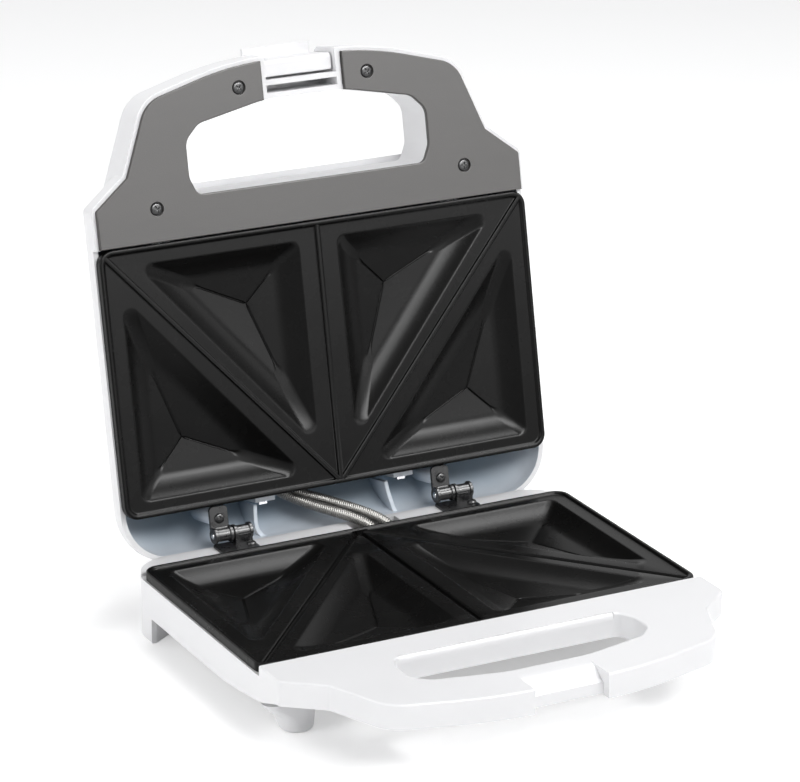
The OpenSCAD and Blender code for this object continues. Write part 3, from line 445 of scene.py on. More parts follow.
def paint_shade_by_depth(mat, place, near, far, stops):
    """Multiply the colour by a ramp along the local depth axis of `place`: painted light and shade.
    """
    nt = mat.node_tree
    link = nt.links.new
    bsdf = nt.nodes["Principled BSDF"]
    axis = place.to_3x3() @ Vector((0, 0, 1))
    axis = axis / axis.length_squared
    tc = nt.nodes.new("ShaderNodeTexCoord")
    dot = nt.nodes.new("ShaderNodeVectorMath")
    dot.operation = "DOT_PRODUCT"
    dot.inputs[1].default_value = axis
    link(tc.outputs["Object"], dot.inputs[0])
    base = place.translation.dot(axis)
    span = put_node(nt, "ShaderNodeMapRange", From_Min=base + near, From_Max=base + far)
    link(dot.outputs["Value"], span.inputs["Value"])
    ramp = put_ramp(nt, *stops)
    ramp.color_ramp.interpolation = "EASE"
    link(span.outputs["Result"], ramp.inputs["Fac"])
    mix = nt.nodes.new("ShaderNodeMix")
    mix.data_type = "RGBA"
    mix.blend_type = "MULTIPLY"
    mix.inputs["Factor"].default_value = 1.0
    link(bsdf.inputs["Base Color"].links[0].from_socket, mix.inputs["A"])
    link(ramp.outputs["Color"], mix.inputs["B"])
    link(mix.outputs["Result"], bsdf.inputs["Base Color"])


# Painted light near the lid's rim and painted shade deeper in, darker and bluer towards the dome.
paint_shade_by_depth(inner_white_painted_shade, IN_LID, 8.0, 29.0, ((1.38, 1.42, 1.46), (0.46, 0.57, 0.66)))

# Nodes that are shown as the CAD has them
for mat, names in (
        (sheath, "lower_heating_element upper_heating_element"),
        (sheet, "lower_heat_shield upper_heat_shield fuse_clip thermostat"),
        (bright, "lower_plate_screws upper_plate_screws shield_screws cord_clamp_screws"),
        (bright, "lamp_bracket_screws latch_pin"),
        (brass, "terminal_screws"),
        (cream, "terminal_block thermal_fuse cord_clamp lamp_bracket"),
        (glass, "neon_lamps"),
        (sleeve_red, "base_wiring lid_wiring")):
    for node_name in names.split():
        for slot in frame["nodes"][node_name].material_slots:
            slot.material = mat

# ---------------- cooking plates
# Depth is counted away from the food, so the lower plate is the same shape turned over.
LAND = 1.2
POCKET = 9.5
PLATE_R = 6.5
METAL = 2.4
# (inset, depth) steps from the back of the flange, over its bead, to the land
PLATE_SIDE = [[0.25, FLANGE], [0, FLANGE - 0.25], [0, 2.4], [0, 0.75], [0.12, 0.38], [0.4, 0.1],
              [0.8, 0.0], [1.35, 0.0], [1.75, 0.1], [2.1, 0.38], [2.3, 0.7], [2.55, 1.0],
              [2.85, 1.17], [3.2, LAND]]


def plate_ring(inset, depth, n=10):
    x = HALF - inset
    p = [[-x, -inset], [-x, -PLATE_D + inset], [x, -PLATE_D + inset], [x, -inset]]
    return at_z(rounded(p, [max(PLATE_R - inset * 0.75, 1.2)] * 4, n), depth)


# Each pocket is a triangle: its edges are moved in towards the middle of its inscribed circle
REAR_TRI = [[-16.8, -6.6], [-100.4, -6.6], [-100.4, -103.5]]
FRONT_TRI = [[-9.2, -17.6], [-92.6, -115.2], [-9.2, -115.2]]


def in_radius(t):
    a, b, c = (np.linalg.norm(np.subtract(t[i], t[i - 1])) for i in range(3))
    s = (a + b + c) / 2
    return math.sqrt((s - a) * (s - b) * (s - c) / s)


def pocket_depth_at(d, total):
    """Depth at distance d from the mouth: a rounded lip, a steep wall, then a shallow slope."""
    lip, wall = 1.6, 12.0
    x = max(d, 0.0)
    drop = POCKET - LAND
    curve = 1 - (1 - min(x / wall, 1.0)) ** 1.7
    soft = x * x / (x * x + lip * lip * 0.6)
    return LAND + drop * (0.55 * curve + 0.45 * x / total) * soft


def pocket_rings(tri, n=8):
    """Rings from the mouth to the lowest point, with a fine groove where two sides meet."""
    total = in_radius(tri)
    offs = [0.0, 0.35, 0.8, 1.3, 1.9, 2.7, 3.7, 5.0, 6.6, 8.6]
    inner = 16
    offs += [8.6 + (total - 8.8) * (i + 1) / inner for i in range(inner)]
    rings = []
    for o in offs:
        k = 1 - o / total
        fade = min(max((0.6 - k) / 0.2, 0), 1)
        fade = fade * fade * (3 - 2 * fade)
        r = 4.2 * (1 - fade) * (0.45 + 0.55 * k) + 0.75 * fade
        r = min(r, 0.75 * total * k + 0.05)
        ring = at_z(rounded(moved_in(tri, o), [r] * 3, n), pocket_depth_at(o, total))
        for i in range(len(ring)):
            ring[i, 2] += 0.5 * fade * math.sin(math.pi * (i % (n + 1)) / n) ** 2
        rings.append(ring)
    return rings, pocket_depth_at(total, total) + 0.5


def plate_part():
    """Verts and faces of a plate: its side, four pockets, the land and the back of the metal."""
    tris = [np.array(t, float) for t in (REAR_TRI, FRONT_TRI)]
    tris += [np.array([[-q[0], q[1]] for q in t][::-1]) for t in tris]
    verts, faces = [], []

    def add(ring):
        start = len(verts)
        verts.extend(ring)
        return list(range(start, start + len(ring)))

    def bridge(a, b):
        n = len(a)
        faces.extend([[a[i], a[(i + 1) % n], b[(i + 1) % n], b[i]] for i in range(n)])

    def bowl(rings, depth, from_below=False):
        """Faces through the rings to a point at their middle; gives the first ring."""
        ids = [add(r) for r in rings]
        for a, b in zip(ids, ids[1:]):
            bridge(*((b, a) if from_below else (a, b)))
        tip = len(verts)
        verts.append(np.array([*np.mean(rings[-1][:, :2], axis=0), depth]))
        last = ids[-1]
        for a, b in zip(last, last[1:] + last[:1]):
            faces.append([b, a, tip] if from_below else [a, b, tip])
        return ids[0]

    def inside(c, loop):
        q = np.array([verts[i][:2] for i in loop])
        x0, y0 = q[:, 0], q[:, 1]
        x1, y1 = np.roll(x0, -1), np.roll(y0, -1)
        cross_x = (x1 - x0) * (c[1] - y0) / (y1 - y0 + 1e-12) + x0
        return (((y0 > c[1]) != (y1 > c[1])) & (c[0] < cross_x)).sum() % 2 == 1

    def flat(outer, holes):
        pts, ids, edges = [], [], []
        for loop in [outer] + holes:
            base = len(pts)
            pts += [Vector(verts[i][:2]) for i in loop]
            ids += loop
            edges += [(base + i, base + (i + 1) % len(loop)) for i in range(len(loop))]
        points, _, tiles, origin, _, _ = delaunay_2d_cdt(pts, edges, [], 1, 1e-5)
        for tile in tiles:
            c = np.mean([points[i][:] for i in tile], axis=0)
            if inside(c, outer) and not any(inside(c, h) for h in holes):
                faces.append([ids[origin[i][0]] for i in tile])

    loops = [add(plate_ring(inset, depth)) for inset, depth in PLATE_SIDE]
    for a, b in zip(loops, loops[1:]):
        bridge(a, b)
    flat(loops[-1], [bowl(*pocket_rings(t)) for t in tris])
    backs = []
    for t in tris:
        rings, deep = pocket_rings(t)
        back = []
        for r in rings[1:]:
            q = r.copy()
            mid = np.mean(r[:, :2], axis=0)
            q[:, :2] = q[:, :2] + (q[:, :2] - mid) * 0.01
            q[:, 2] = np.maximum(q[:, 2] + METAL, FLANGE + 0.002 * (len(back)))
            back.append(q)
        back[0][:, 2] = FLANGE
        backs.append(bowl(back, deep + METAL, True))
    flat(loops[0], backs)
    return verts, faces


def rib_profile(width, low, high):
    """Half-round ridge from depth `low` up to `high`, flared into the land at both sides."""
    w = width / 2
    side = [(w + 0.7, low + 0.3), (w + 0.5, low - 0.02), (w + 0.15, low - 0.12), (w, low - 0.35),
            (w - 0.06, high + 0.55), (w - 0.2, high + 0.25), (w - 0.45, high + 0.06), (w * 0.3, high)]
    return [(-u, z) for u, z in side] + side[::-1]


def groove_profile(deep):
    """Round-bottomed groove in the land with rolled edges."""
    side = [(2.3, -0.5), (2.1, -0.02), (1.7, 0.07), (1.35, 0.3), (1.12, 0.7), (0.9, deep - 0.25),
            (0.6, deep - 0.04), (0.3, deep)]
    return [(-u, LAND + z) for u, z in side] + [(u, LAND + z) for u, z in side[::-1]]


def bar_along(profile, a, b):
    """Profile of (across, depth) pushed along the line from a to b."""
    a, b = np.array(a, float), np.array(b, float)
    d = unit(b - a)
    nrm = np.array([-d[1], d[0]])
    rings = [np.array([[*(p + nrm * u), w] for u, w in profile]) for p in (a, b)]
    return lofted("bar", rings, Matrix.Identity(4))


RIB_ENDS = [((0, -2.0), (0, -PLATE_D + 2.0)),
            ((-1.0, -2.2), (-HALF + 3.0, -PLATE_D + 3.2)),
            ((1.0, -2.2), (HALF - 3.0, -PLATE_D + 3.2))]


def plate(name, raised, place):
    """A plate with raised ribs between its pockets, or with grooves."""
    ob = tidy_normals(mesh_object(name, *plate_part(), Matrix.Identity(4)))
    profile = rib_profile(2.4, LAND, 0.05) if raised else groove_profile(1.7)
    for a, b in RIB_ENDS:
        combine(ob, [bar_along(profile, a, b)], "UNION" if raised else "DIFFERENCE")
    ob.data.transform(place)
    if place.determinant() < 0:
        ob.data.flip_normals()
    return ob


FLIP = Matrix.Scale(-1, 4, (0, 0, 1))
upper = plate("upper_plate_part", True, IN_LID)
dress(upper, coated, "lid", ["upper_plate"], angle=32)
lower = plate("lower_plate_part", False, IN_BASE @ FLIP)
dress(lower, coated, "base", ["lower_plate"], angle=32)

# ---------------- lid
DOME_WALL = 8.0


def rim_steps(off):
    """The lid's wall at its rim: softened on the outside, plain for the inner cut."""
    return [(off, -1.0, -off)] if off else [(0.45, 2.0, -0.45), (0.12, 2.12, -0.12), (0, 2.45, 0)]


def dome_steps(off, top, n=26):
    """The dome's rings. They stop at angle `end`, just short of a level top."""
    run, end = 44.0, 1.46
    inset_share, corner_share = 0.96, 0.3
    out = rim_steps(off)
    for i in range(n):
        a = end * i / (n - 1)
        q = run * (1 - math.cos(a))
        z = DOME_WALL + (top - off - DOME_WALL) * math.sin(a) / math.sin(end)
        out.append((off + q * inset_share, z, -off - q * corner_share))
    return out


def handle_steps(off, top, r=7.0):
    return rim_steps(off) + [(off + r * q, top - off - r * p, -off) for p, q in quarter(10)]


LID_CASING, BASE_CASING = casing(BODY, LID_REAR), casing(BODY, REAR)


def lid_form(off):
    """The dome with the grip run into it, `off` in from the lid's outside."""
    a = block(LID_CASING, casing_r(LID_CORNER), dome_steps(off, DOME), IN_LID)
    rear_edge, inside_dome = -PLATE_D - 13, -PLATE_D + 2
    plan = [[x, max(y, inside_dome) if y > rear_edge else y] for x, y in handle(LID_REACH)]
    b = block(plan, HANDLE_R, handle_steps(off, LID_HANDLE), IN_LID)
    return combine(a, [b], "UNION")


def hole_cutter(outline, face, far, place, flare, both=True):
    """A finger hole with rounded lips at depth `face`, and at `far` when both."""
    s = 1 if far > face else -1
    steps = [(-flare - 3, face - s * 3.0, flare + 3)]
    steps += [(-flare * p, face + s * flare * q, flare * p) for p, q in quarter(7)]
    if both:
        steps += [(-flare * q, far - s * flare * p, flare * q) for p, q in quarter(7)]
        steps.append((-flare - 3, far + s * 3.0, flare + 3))
    else:
        steps.append((0, far, 0))
    return block(outline, HOLE_R, steps, place, 10)


def pillars(spots, r, lo, hi, place=IN_LID):
    """A round bar at each (x, y) spot."""
    return [turned("pillar", [(r, lo), (r, hi)], (x, y, 0), "Z", 32, place) for x, y in spots]


def hole_wall(outline, lo, hi, place):
    """The wall round a finger hole, as a block that the hole is cut from later."""
    steps = [(-WALL, lo, WALL), (-WALL, hi, WALL)]
    return block(outline, HOLE_R, steps, place, 12)


SHIELD = FLANGE + 6.5
LENS_X, LENS_R = 11, 4.0

outer = lid_form(0)
extra = hole_wall(LID_HOLE, 1.0, DOME, IN_LID)
extras = [box((-LATCH_SLOT - WALL, LID_FRONT - 1, 0),
              (LATCH_SLOT + WALL, LID_FRONT + HOLE_BORDER, LID_HANDLE - WALL + 0.1), IN_LID)]
extras += pillars(PANEL_SPOTS, 3.6, PANEL_T, DOME)
extras += pillars(LID_HINGE_SPOTS, 4, HINGE_D + 2.9, DOME)
extras += pillars(SHIELD_SPOTS, 3.2, SHIELD + 0.8, DOME)
extras += pillars(BRACKET_SPOTS, 3, 22.6, DOME)
extras += [box((s * HOOK_X - 5, 1.2, SHIELD - 2.5), (s * HOOK_X + 5, 3.6, DOME), IN_LID)
           for s in SIDES]


def wall_along(points, t, lo, hi):
    """A rib of thickness t along a plan line in the lid, thinner towards its edge at depth lo."""
    p = np.array(points, float)
    d = directions(p)
    nrm = np.column_stack([-d[:, 1], d[:, 0]])
    rings = []
    for k, z in ((0.82, lo), (0.94, lo + 0.15), (1.0, lo + 0.5), (1.0, hi)):
        q = np.concatenate([p + nrm * t / 2 * k, (p - nrm * t / 2 * k)[::-1]])
        rings.append(at_z(q, z))
    return lofted("rib", rings, IN_LID)


def smooth_line(points, n=22):
    """A curve through the points, in about n steps."""
    p = np.array(points, float)
    per_span = n // (len(p) - 1) + 1
    out = []
    for i in range(len(p) - 1):
        a, b = p[max(i - 1, 0)], p[i]
        c, d = p[i + 1], p[min(i + 2, len(p) - 1)]
        for k in range(per_span):
            t = k / per_span
            out.append(0.5 * ((2 * b) + (c - a) * t + (2 * a - 5 * b + 4 * c - d) * t * t
                              + (3 * b - a - 3 * c + d) * t ** 3))
    out.append(p[-1])
    return out


j_ribs = [[(27.8, 5), (28.6, 10), (29.8, 15), (31.7, 20.5), (36.4, 24)],
          [(-40.2, 5), (-40.6, 13.4), (-39.2, 18.1), (-34, 23.5)]]
extras += [wall_along(smooth_line(q), 2.0, 11.0, DOME) for q in j_ribs]
extra = combine(extra, extras, "UNION")
inner_cut = lid_form(WALL)
extra = combine(extra, [new_object("keep", outer.data.copy())], "INTERSECT")
lid = combine(outer, [inner_cut])
lid = combine(lid, [extra], "UNION")
cuts = [box((-WIDE, LID_FRONT - 10, -3), (WIDE, BEHIND, PANEL_T), IN_LID),
        box((-WIDE, SEAT, -3), (WIDE, BEHIND, FLANGE), IN_LID),
        hole_cutter(LID_HOLE, PANEL_T - 1.6, LID_HANDLE, IN_LID, 0.9),
        box((-LATCH_SLOT, LID_FRONT - 10, -1), (LATCH_SLOT, LATCH_Y + 6.6, DOME + 10), IN_LID),
        box((-LATCH_SLOT, LATCH_Y + 9.0, -1),
            (LATCH_SLOT, LID_FRONT + HOLE_BORDER - WALL, LID_HANDLE - WALL - 4), IN_LID),
        bore(1.0, -LATCH_SLOT - 2, LATCH_SLOT + 2, LATCH_Y, LATCH_D, 32, IN_LID)]
cuts += pillars([(s * LENS_X, LAMP_Y) for s in SIDES], 4.1, 10, DOME + 10)
cuts += pillars(SHIELD_SPOTS, THREAD_R, 0, 20)
cuts += pillars(LID_HINGE_SPOTS, THREAD_R, 0, 14)
cuts += pillars(PANEL_SPOTS, THREAD_R, 0, 14)
cuts += [box((s * HOOK_X - 2.2, 0.2, SHIELD - 0.2), (s * HOOK_X + 2.2, 4.6, SHIELD + 1.0), IN_LID)
         for s in SIDES]
lid = combine(lid, cuts)
lid.name = "lid_shell_part"
dress(lid, white, "lid", ["lid_shell"], angle=28)

# The moulded inside is duller than the polished outside, and its darker, bluer colour is painted
# shade. A face counts as inside when it lies further in than the dome's skin at its depth, unless it
# faces out close to that skin.
DOME_RUN, SKIN, NEAR_SKIN, MIDDLE_Y = 42.2, 1.3, 5, -60
lid.data.materials.append(inner_white_painted_shade)
to_lid = IN_LID.inverted()
for poly in lid.data.polygons:
    x, y, d = to_lid @ poly.center
    rise = min(max((d - DOME_WALL) / (DOME - DOME_WALL), 0), 1)
    skin = DOME_RUN * (1 - math.sqrt(1 - rise * rise)) + SKIN
    qx, qy = abs(x) - (BODY - LID_CORNER), y - (LID_REAR - LID_CORNER)
    past_corner = math.hypot(max(qx, 0), max(qy, 0)) if max(qx, qy) > 0 else max(qx, qy)
    depth_in = LID_CORNER - past_corner
    n = to_lid.to_3x3() @ poly.normal
    faces_out = n.x * x + n.y * (y - MIDDLE_Y) + n.z * (d - DOME_WALL) > 0
    under_rim = FLANGE + 0.01 < d < DOME - 0.5 and y > -PLATE_D - 0.4
    if under_rim and depth_in > skin and not (faces_out and depth_in < skin + NEAR_SKIN):
        poly.material_index = 1


def screw(at, head_r, head_h, place, down, length, rad=THREAD_R):
    """Pan head with a cross recess, a shank and a thread."""
    prof = [(0.0, head_h), (head_r * 0.35, head_h * 0.995), (head_r * 0.62, head_h * 0.94),
            (head_r * 0.82, head_h * 0.8), (head_r * 0.94, head_h * 0.56), (head_r, head_h * 0.25),
            (head_r, 0.0), (rad, -0.02)]
    z = -0.3
    while z > -length + 0.8:
        prof += [(rad, z), (rad - 0.18, z - 0.28)]
        z -= 0.56
    prof += [(rad * 0.6, -length + 0.2), (0.0, -length)]
    rings = []
    t = np.arange(40) * 2 * math.pi / 40
    for r, h in prof:
        r = max(r, 1e-4)
        rings.append(at_z(np.column_stack([r * np.cos(t), r * np.sin(t)]), h))
    ob = lofted("screw", rings, Matrix.Identity(4))
    deep = head_h * 0.62
    cross = []
    for a in (0, math.pi / 2):
        w, l = head_r * 0.13, head_r * 0.62
        pts = [[-l, -w], [l, -w], [l, w], [-l, w]]
        rings = []
        for k, h in ((0.5, head_h - deep), (0.8, head_h - deep * 0.5), (1.0, head_h + 0.3)):
            rings.append(at_z(np.array(pts) * [k, 0.75 + 0.25 * k], h))
        cross.append(lofted("x", rings, Matrix.Rotation(a, 4, "Z")))
    combine(ob, cross)
    z_axis = -Vector(down).normalized()
    turn = z_axis.to_track_quat("Z", "Y").to_matrix().to_4x4()
    spin = Matrix.Rotation(math.radians((at[0] * 37 + at[1] * 23) % 90), 4, "Z")
    ob.data.transform(place @ Matrix.Translation(at) @ turn @ spin)
    return ob


def screw_set(node, body, spots, z, head_r, head_h, place, down, length):
    """The screws of one node: their heads sit at z over each (x, y) spot."""
    ob = join(node + "_part", [screw((x, y, z), head_r, head_h, place, down, length)
                               for x, y in spots])
    dress(ob, black_steel, body, [node], angle=40, weighted=False)


# Dark handle panel
def panel_slab(lo_z, hi_z):
    """The panel's block, 1.9 mm in from the lid's outline, with a rounded edge at lo_z."""
    steps = [(1.9 + 0.55, lo_z, -2.45), (1.9 + 0.22, lo_z + 0.06, -2.12),
             (1.9 + 0.05, lo_z + 0.22, -1.95), (1.9, lo_z + 0.5, -1.9), (1.9, hi_z, -1.9)]
    # The casing's half starts a hair deeper than the grip's
    low = [(q, z + 0.004 * (z < hi_z), r) for q, z, r in steps]
    a = block(LID_CASING, casing_r(LID_CORNER), low, IN_LID)
    b = block(handle(LID_REACH), HANDLE_R, steps, IN_LID)
    return combine(a, [b], "UNION")


panel = panel_slab(0, PANEL_T)
notch = LATCH_SLOT + WALL + 0.3
edge = -PLATE_D - 0.6
# Both cutters round over the panel's face by this much
fillet = 0.4
side = [(edge + 400, -5), (edge - fillet, -5)]
side += [(edge - fillet * p, fillet * q) for p, q in quarter(6)]
side += [(edge, 60), (edge + 400, 60)]
gap = [(-notch - fillet, -5)]
gap += [(-notch - fillet * p, fillet * q) for p, q in quarter(6)]
gap += [(-notch, 30)]
gap += [(-x, z) for x, z in gap[::-1]]
cut_list = [prism("c", side, "X", -WIDE, WIDE, IN_LID),
            hole_cutter(LID_HOLE, 0, 30, IN_LID, 0.55, False),
            prism("c", gap, "Y", LID_FRONT - 5, LID_FRONT + 39, IN_LID)]
for x, y in PANEL_SPOTS:
    cut_list.append(turned("c", [(3.55, -3), (3.55, -0.01), (3.35, 0.08), (3.2, 0.35), (3.2, 1.2),
                                 (1.5, 1.2), (1.5, 9)], (x, y, 0), "Z", 40, IN_LID))
combine(panel, cut_list)
panel.name = "handle_panel_part"
dress(panel, panel_mat, "lid", ["handle_panel"], angle=30)
screw_set("handle_panel_screws", "lid", PANEL_SPOTS, 1.2, 2.9, 1.0, IN_LID, UP, 9)

# Latch
PIN_BACK, GRIP, LIP_T, LIP_H, LATCH_T, LATCH_W = 2.2, 19.2, 2.2, 4.8, 7.7, 34.0
IN_LATCH = IN_LID @ Matrix.Translation((0, LATCH_Y, LATCH_D))
prof = rounded([[-PIN_BACK, -2.6], [LATCH_T - PIN_BACK, -2.6], [LATCH_T - PIN_BACK, GRIP + LIP_T],
                [-PIN_BACK, GRIP + LIP_T]], [2, 0.6, 2.5, 0.4], 10)
latch = prism("latch_part", prof, "X", -LATCH_W / 2, LATCH_W / 2, IN_LATCH)
lip = box((-LATCH_W / 2, -PIN_BACK - LIP_H, GRIP), (LATCH_W / 2, 0, GRIP + LIP_T), IN_LATCH)
combine(latch, [lip], "UNION")
bevelled(latch, 0.55, 4, 40)
combine(latch, [box((-LATCH_W / 2 + 2.2, -PIN_BACK + 4.6, 2.6),
                    (LATCH_W / 2 - 2.2, LATCH_T, GRIP - 1), IN_LATCH),
                bore(1.05, -40, 40, 0, 0, 32, IN_LATCH)])
dress(latch, white, "latch", ["latch"], angle=35)

# ---------------- base
BOTTOM = -20.5
FLOOR = BOTTOM + WALL
LEDGE = -FLANGE + 1.6
HANDLE_EDGE = 11.4


def base_form(off, top, bottom, edge_r=0.9):
    """The base's plan as a block, `off` in, with a rolled top edge if it ends at the deck."""
    steps = [(off, bottom, -off)]
    if top == DECK:
        steps += [(off + edge_r * q, top - edge_r * p, -off - edge_r * q) for p, q in quarter(7)]
    else:
        steps.append((off, top, -off))
    a = block(BASE_CASING, casing_r(BASE_CORNER), steps)
    b = block(handle(BASE_REACH), HANDLE_R, steps)
    return combine(a, [b], "UNION")


def base_side(lift, from_y, to_y):
    """The casing's side view as a block to keep what is in it; shallower towards the handle."""
    h = DECK - HANDLE_EDGE + lift
    pts = [(from_y, BOTTOM + lift), (-PLATE_D * 0.62, BOTTOM + lift),
           (-PLATE_D * 0.72, BOTTOM + 0.25 + lift), (-PLATE_D * 0.85, BOTTOM + 1.7 + lift),
           (-PLATE_D - 2, BOTTOM + 4.4 + lift), (-PLATE_D - 17, h), (to_y, h),
           (to_y, DECK + 5), (from_y, DECK + 5)]
    return prism("side", pts, "X", -WIDE, WIDE)


base = base_form(0, DECK, BOTTOM - 0.5)
combine(base, [base_side(0, REAR + 1, FRONT - 1)], "INTERSECT")
cavity = base_form(WALL, DECK + 1, BOTTOM + WALL)
combine(cavity, [base_side(WALL, REAR - WALL, -PLATE_D - 0.6 + WALL)], "INTERSECT")
under = base_form(WALL, DECK - WALL, BOTTOM - 1)
combine(under, [box((-BODY, FRONT, BOTTOM - 1), (BODY, SEAT - 2 * WALL, DECK - WALL))],
        "INTERSECT")


def plate_seat():
    """Room for the plate, with a rounded edge where it meets the handle deck."""
    edge_r = 0.5
    pts = [(0.3, -FLANGE), (SEAT, -FLANGE)]
    pts += [(SEAT - edge_r * q, DECK - edge_r * p) for p, q in quarter(6)]
    pts += [(SEAT - edge_r, 5), (0.3, 5)]
    return prism("seat", pts, "X", -WIDE, WIDE)


combine(base, [cavity, under, plate_seat(), box((-WIDE, -0.7, LEDGE), (WIDE, BEHIND, 5))])
deck_rear = base_form(0, LEDGE, LEDGE - WALL)
combine(deck_rear, [box((-BODY, 0.3, BOTTOM), (BODY, REAR, LEDGE))], "INTERSECT")
ring = hole_wall(BASE_HOLE, BOTTOM, -0.2, IN_BASE)
combine(ring, [base_side(0, SEAT, FRONT)], "INTERSECT")
adds = [deck_rear, ring]
adds.append(box((-LATCH_SLOT - WALL, CATCH_Y - 1, DECK - HANDLE_EDGE + 0.7),
                (LATCH_SLOT + WALL, FRONT + 22, -0.05)))
adds += [box((s * LATCH_SLOT, FRONT + 0.6, DECK - HANDLE_EDGE),
             (s * (LATCH_SLOT + WALL), CATCH_Y, -0.05)) for s in SIDES]


def front_foot(s):
    """Tapered foot that flows into the casing's side."""
    x, y = s * (-BODY + 18), -PLATE_D + 1
    centre = np.array([x, y])
    tip, tip_r = np.array([s * (-BODY + 5.4), y - 3]), 5
    n = 64
    rings = []
    # (z, radius, share of the way out to the casing's side)
    for z, r, out in ((-RIM_H, 5.3, 0), (-RIM_H + 0.12, 5.9, 0), (-RIM_H + 0.5, 6.7, 0),
                      (-RIM_H + 1.1, 7.4, 0), (-RIM_H + 1.9, 7.8, 0), (-24, 8.2, 0.25),
                      (-21.2, 8.45, 0.62), (-19.2, 8.55, 0.85), (BOTTOM + 3.5, 8.6, 1.0)):
        ring = []
        for k in range(n):
            t = 2 * math.pi * k / n
            d = np.array([math.cos(t), math.sin(t)])
            straight = centre + d * r
            leaning = centre * (1 - out) + tip * out + d * (r * (1 - out) + tip_r * out)
            ring.append(straight if (straight - centre) @ d >= (leaning - centre) @ d else leaning)
        rings.append(at_z(np.array(ring), z))
    return lofted("foot", rings)


adds += [front_foot(s) for s in (1, -1)]


def mirrored(plan, s):
    return [[s * q[0], q[1]] for q in plan]


def rear_leg(s):
    """Hollow leg at a rear corner, as high as the foot and open below."""
    leg_x, y0 = -BODY + 16, -12.0
    plan = [[-BODY - 5, REAR + 5], [-BODY - 5, y0], [-BODY + WALL, y0], [leg_x, y0 + 9.5],
            [leg_x, REAR + 5]]
    inner = moved_in(plan, WALL)
    low = 0.6
    steps = [(low, -RIM_H, -low), (0.18, -RIM_H + 0.18, -0.18), (0, -RIM_H + low, 0), (0, FLOOR, 0)]
    out_solid = block(BASE_CASING, casing_r(BASE_CORNER), steps)
    combine(out_solid, [prism("k", mirrored(plan, s), "Z", -RIM_H - 1, FLOOR + 1)], "INTERSECT")
    steps = [(WALL, -RIM_H - 1, -WALL), (WALL, BOTTOM, -WALL)]
    hollow = block(BASE_CASING, casing_r(BASE_CORNER), steps)
    combine(hollow, [prism("k", mirrored(inner, s), "Z", -RIM_H - 2, BOTTOM)], "INTERSECT")
    return combine(out_solid, [hollow])


adds += [rear_leg(s) for s in (1, -1)]
boss_spots = [(-HALF / 2, -PLATE_D / 2), (HALF / 2, -PLATE_D / 2), (0, -PLATE_D * 0.76)]
WELL = 12.6
adds += pillars(boss_spots, 4.2, FLOOR - 0.5, -WELL - 0.8, IN_BASE)
adds += pillars(BASE_HINGE_SPOTS, 3, FLOOR - 0.5, LEDGE - 0.5, IN_BASE)
GLAND_X, GLAND_R, LEAD_R = -36.0, 3.6, 2.6
GLAND_Z = FLOOR + GLAND_R + 0.8
CLAMP_Z = GLAND_Z + LEAD_R - 0.1
CLAMP_SPOTS = [(GLAND_X + s * 6.5, 4) for s in SIDES]
adds += pillars(CLAMP_SPOTS, 2.6, FLOOR - 0.5, CLAMP_Z, IN_BASE)
adds.append(box((GLAND_X - 3, 1.6, FLOOR - 0.5), (GLAND_X + 3, 6.4, GLAND_Z - LEAD_R)))
combine(base, adds, "UNION")
cuts = [hole_cutter(BASE_HOLE, DECK, BOTTOM - 3, IN_BASE, 1.0, False)]
# The rear edge of the finger hole is rolled, behind a shallow step
ROLL_Y, ROLL_Z, STEP = 1.7, 4.2, 0.4
hole_rear = max(q[1] for q in BASE_HOLE)
roll = [(hole_rear - 4, 3), (hole_rear + ROLL_Y, 3), (hole_rear + ROLL_Y, DECK - STEP)]
roll += [(hole_rear + ROLL_Y * p - 0.05, DECK - STEP - ROLL_Z * q) for p, q in quarter(10)[1:]]
roll += [(hole_rear - 4, DECK - 4.6)]
reach = max(abs(q[0]) for q in BASE_HOLE if q[1] > hole_rear - 0.1) - 2
cuts.append(prism("c", roll, "X", -reach, reach))
# The slope down to the latch's catch, as (way behind the catch, height over the deck)
slope = [(12.5, 3), (12.5, 0.01), (11.2, -0.03), (9.8, -0.16), (8.6, -0.42), (7.4, -0.86),
         (6.2, -1.5), (2.4, -4.3), (1.5, -4.85), (0.7, -5.25), (0, -5.5), (-1, -5.5), (-1, 3)]
slope = [(CATCH_Y + y, DECK + z) for y, z in slope]
cuts += [prism("c", slope, "X", -LATCH_SLOT, LATCH_SLOT),
         box((-LATCH_SLOT, FRONT - 1, BOTTOM), (LATCH_SLOT, CATCH_Y, 3))]
for spot in boss_spots:
    cuts += pillars([spot], 3.2, BOTTOM - 1, BOTTOM + 1.9, IN_BASE)
    cuts += pillars([spot], 1.7, BOTTOM, 0, IN_BASE)
cuts += pillars(BASE_HINGE_SPOTS, THREAD_R, LEDGE - 8, LEDGE + 2, IN_BASE)
cuts.append(turned("c", [(GLAND_R, REAR - WALL - 1), (GLAND_R, REAR + 1)], (GLAND_X, 0, GLAND_Z),
                   "Y", 48))
cuts += pillars(CLAMP_SPOTS, 1.1, FLOOR, FLOOR + 10, IN_BASE)
cuts.append(box((0.5, 1.8, LEDGE - WALL - 1), (25.5, 12.1, LEDGE + 1)))
# Vent slots, five on each side
for s in SIDES:
    for i in range(5):
        y = -31 - i * 6.5
        w = rounded([[12, y], [12, y - 3], [38, y - 3], [38, y]], [1.45] * 4, 8)
        cuts.append(prism("c", mirrored(w, s), "Z", BOTTOM - 1, FLOOR + 1))
combine(base, cuts)
base.name = "base_shell_part"
dress(base, white, "base", ["base_shell"], angle=28)

# ---------------- hinges


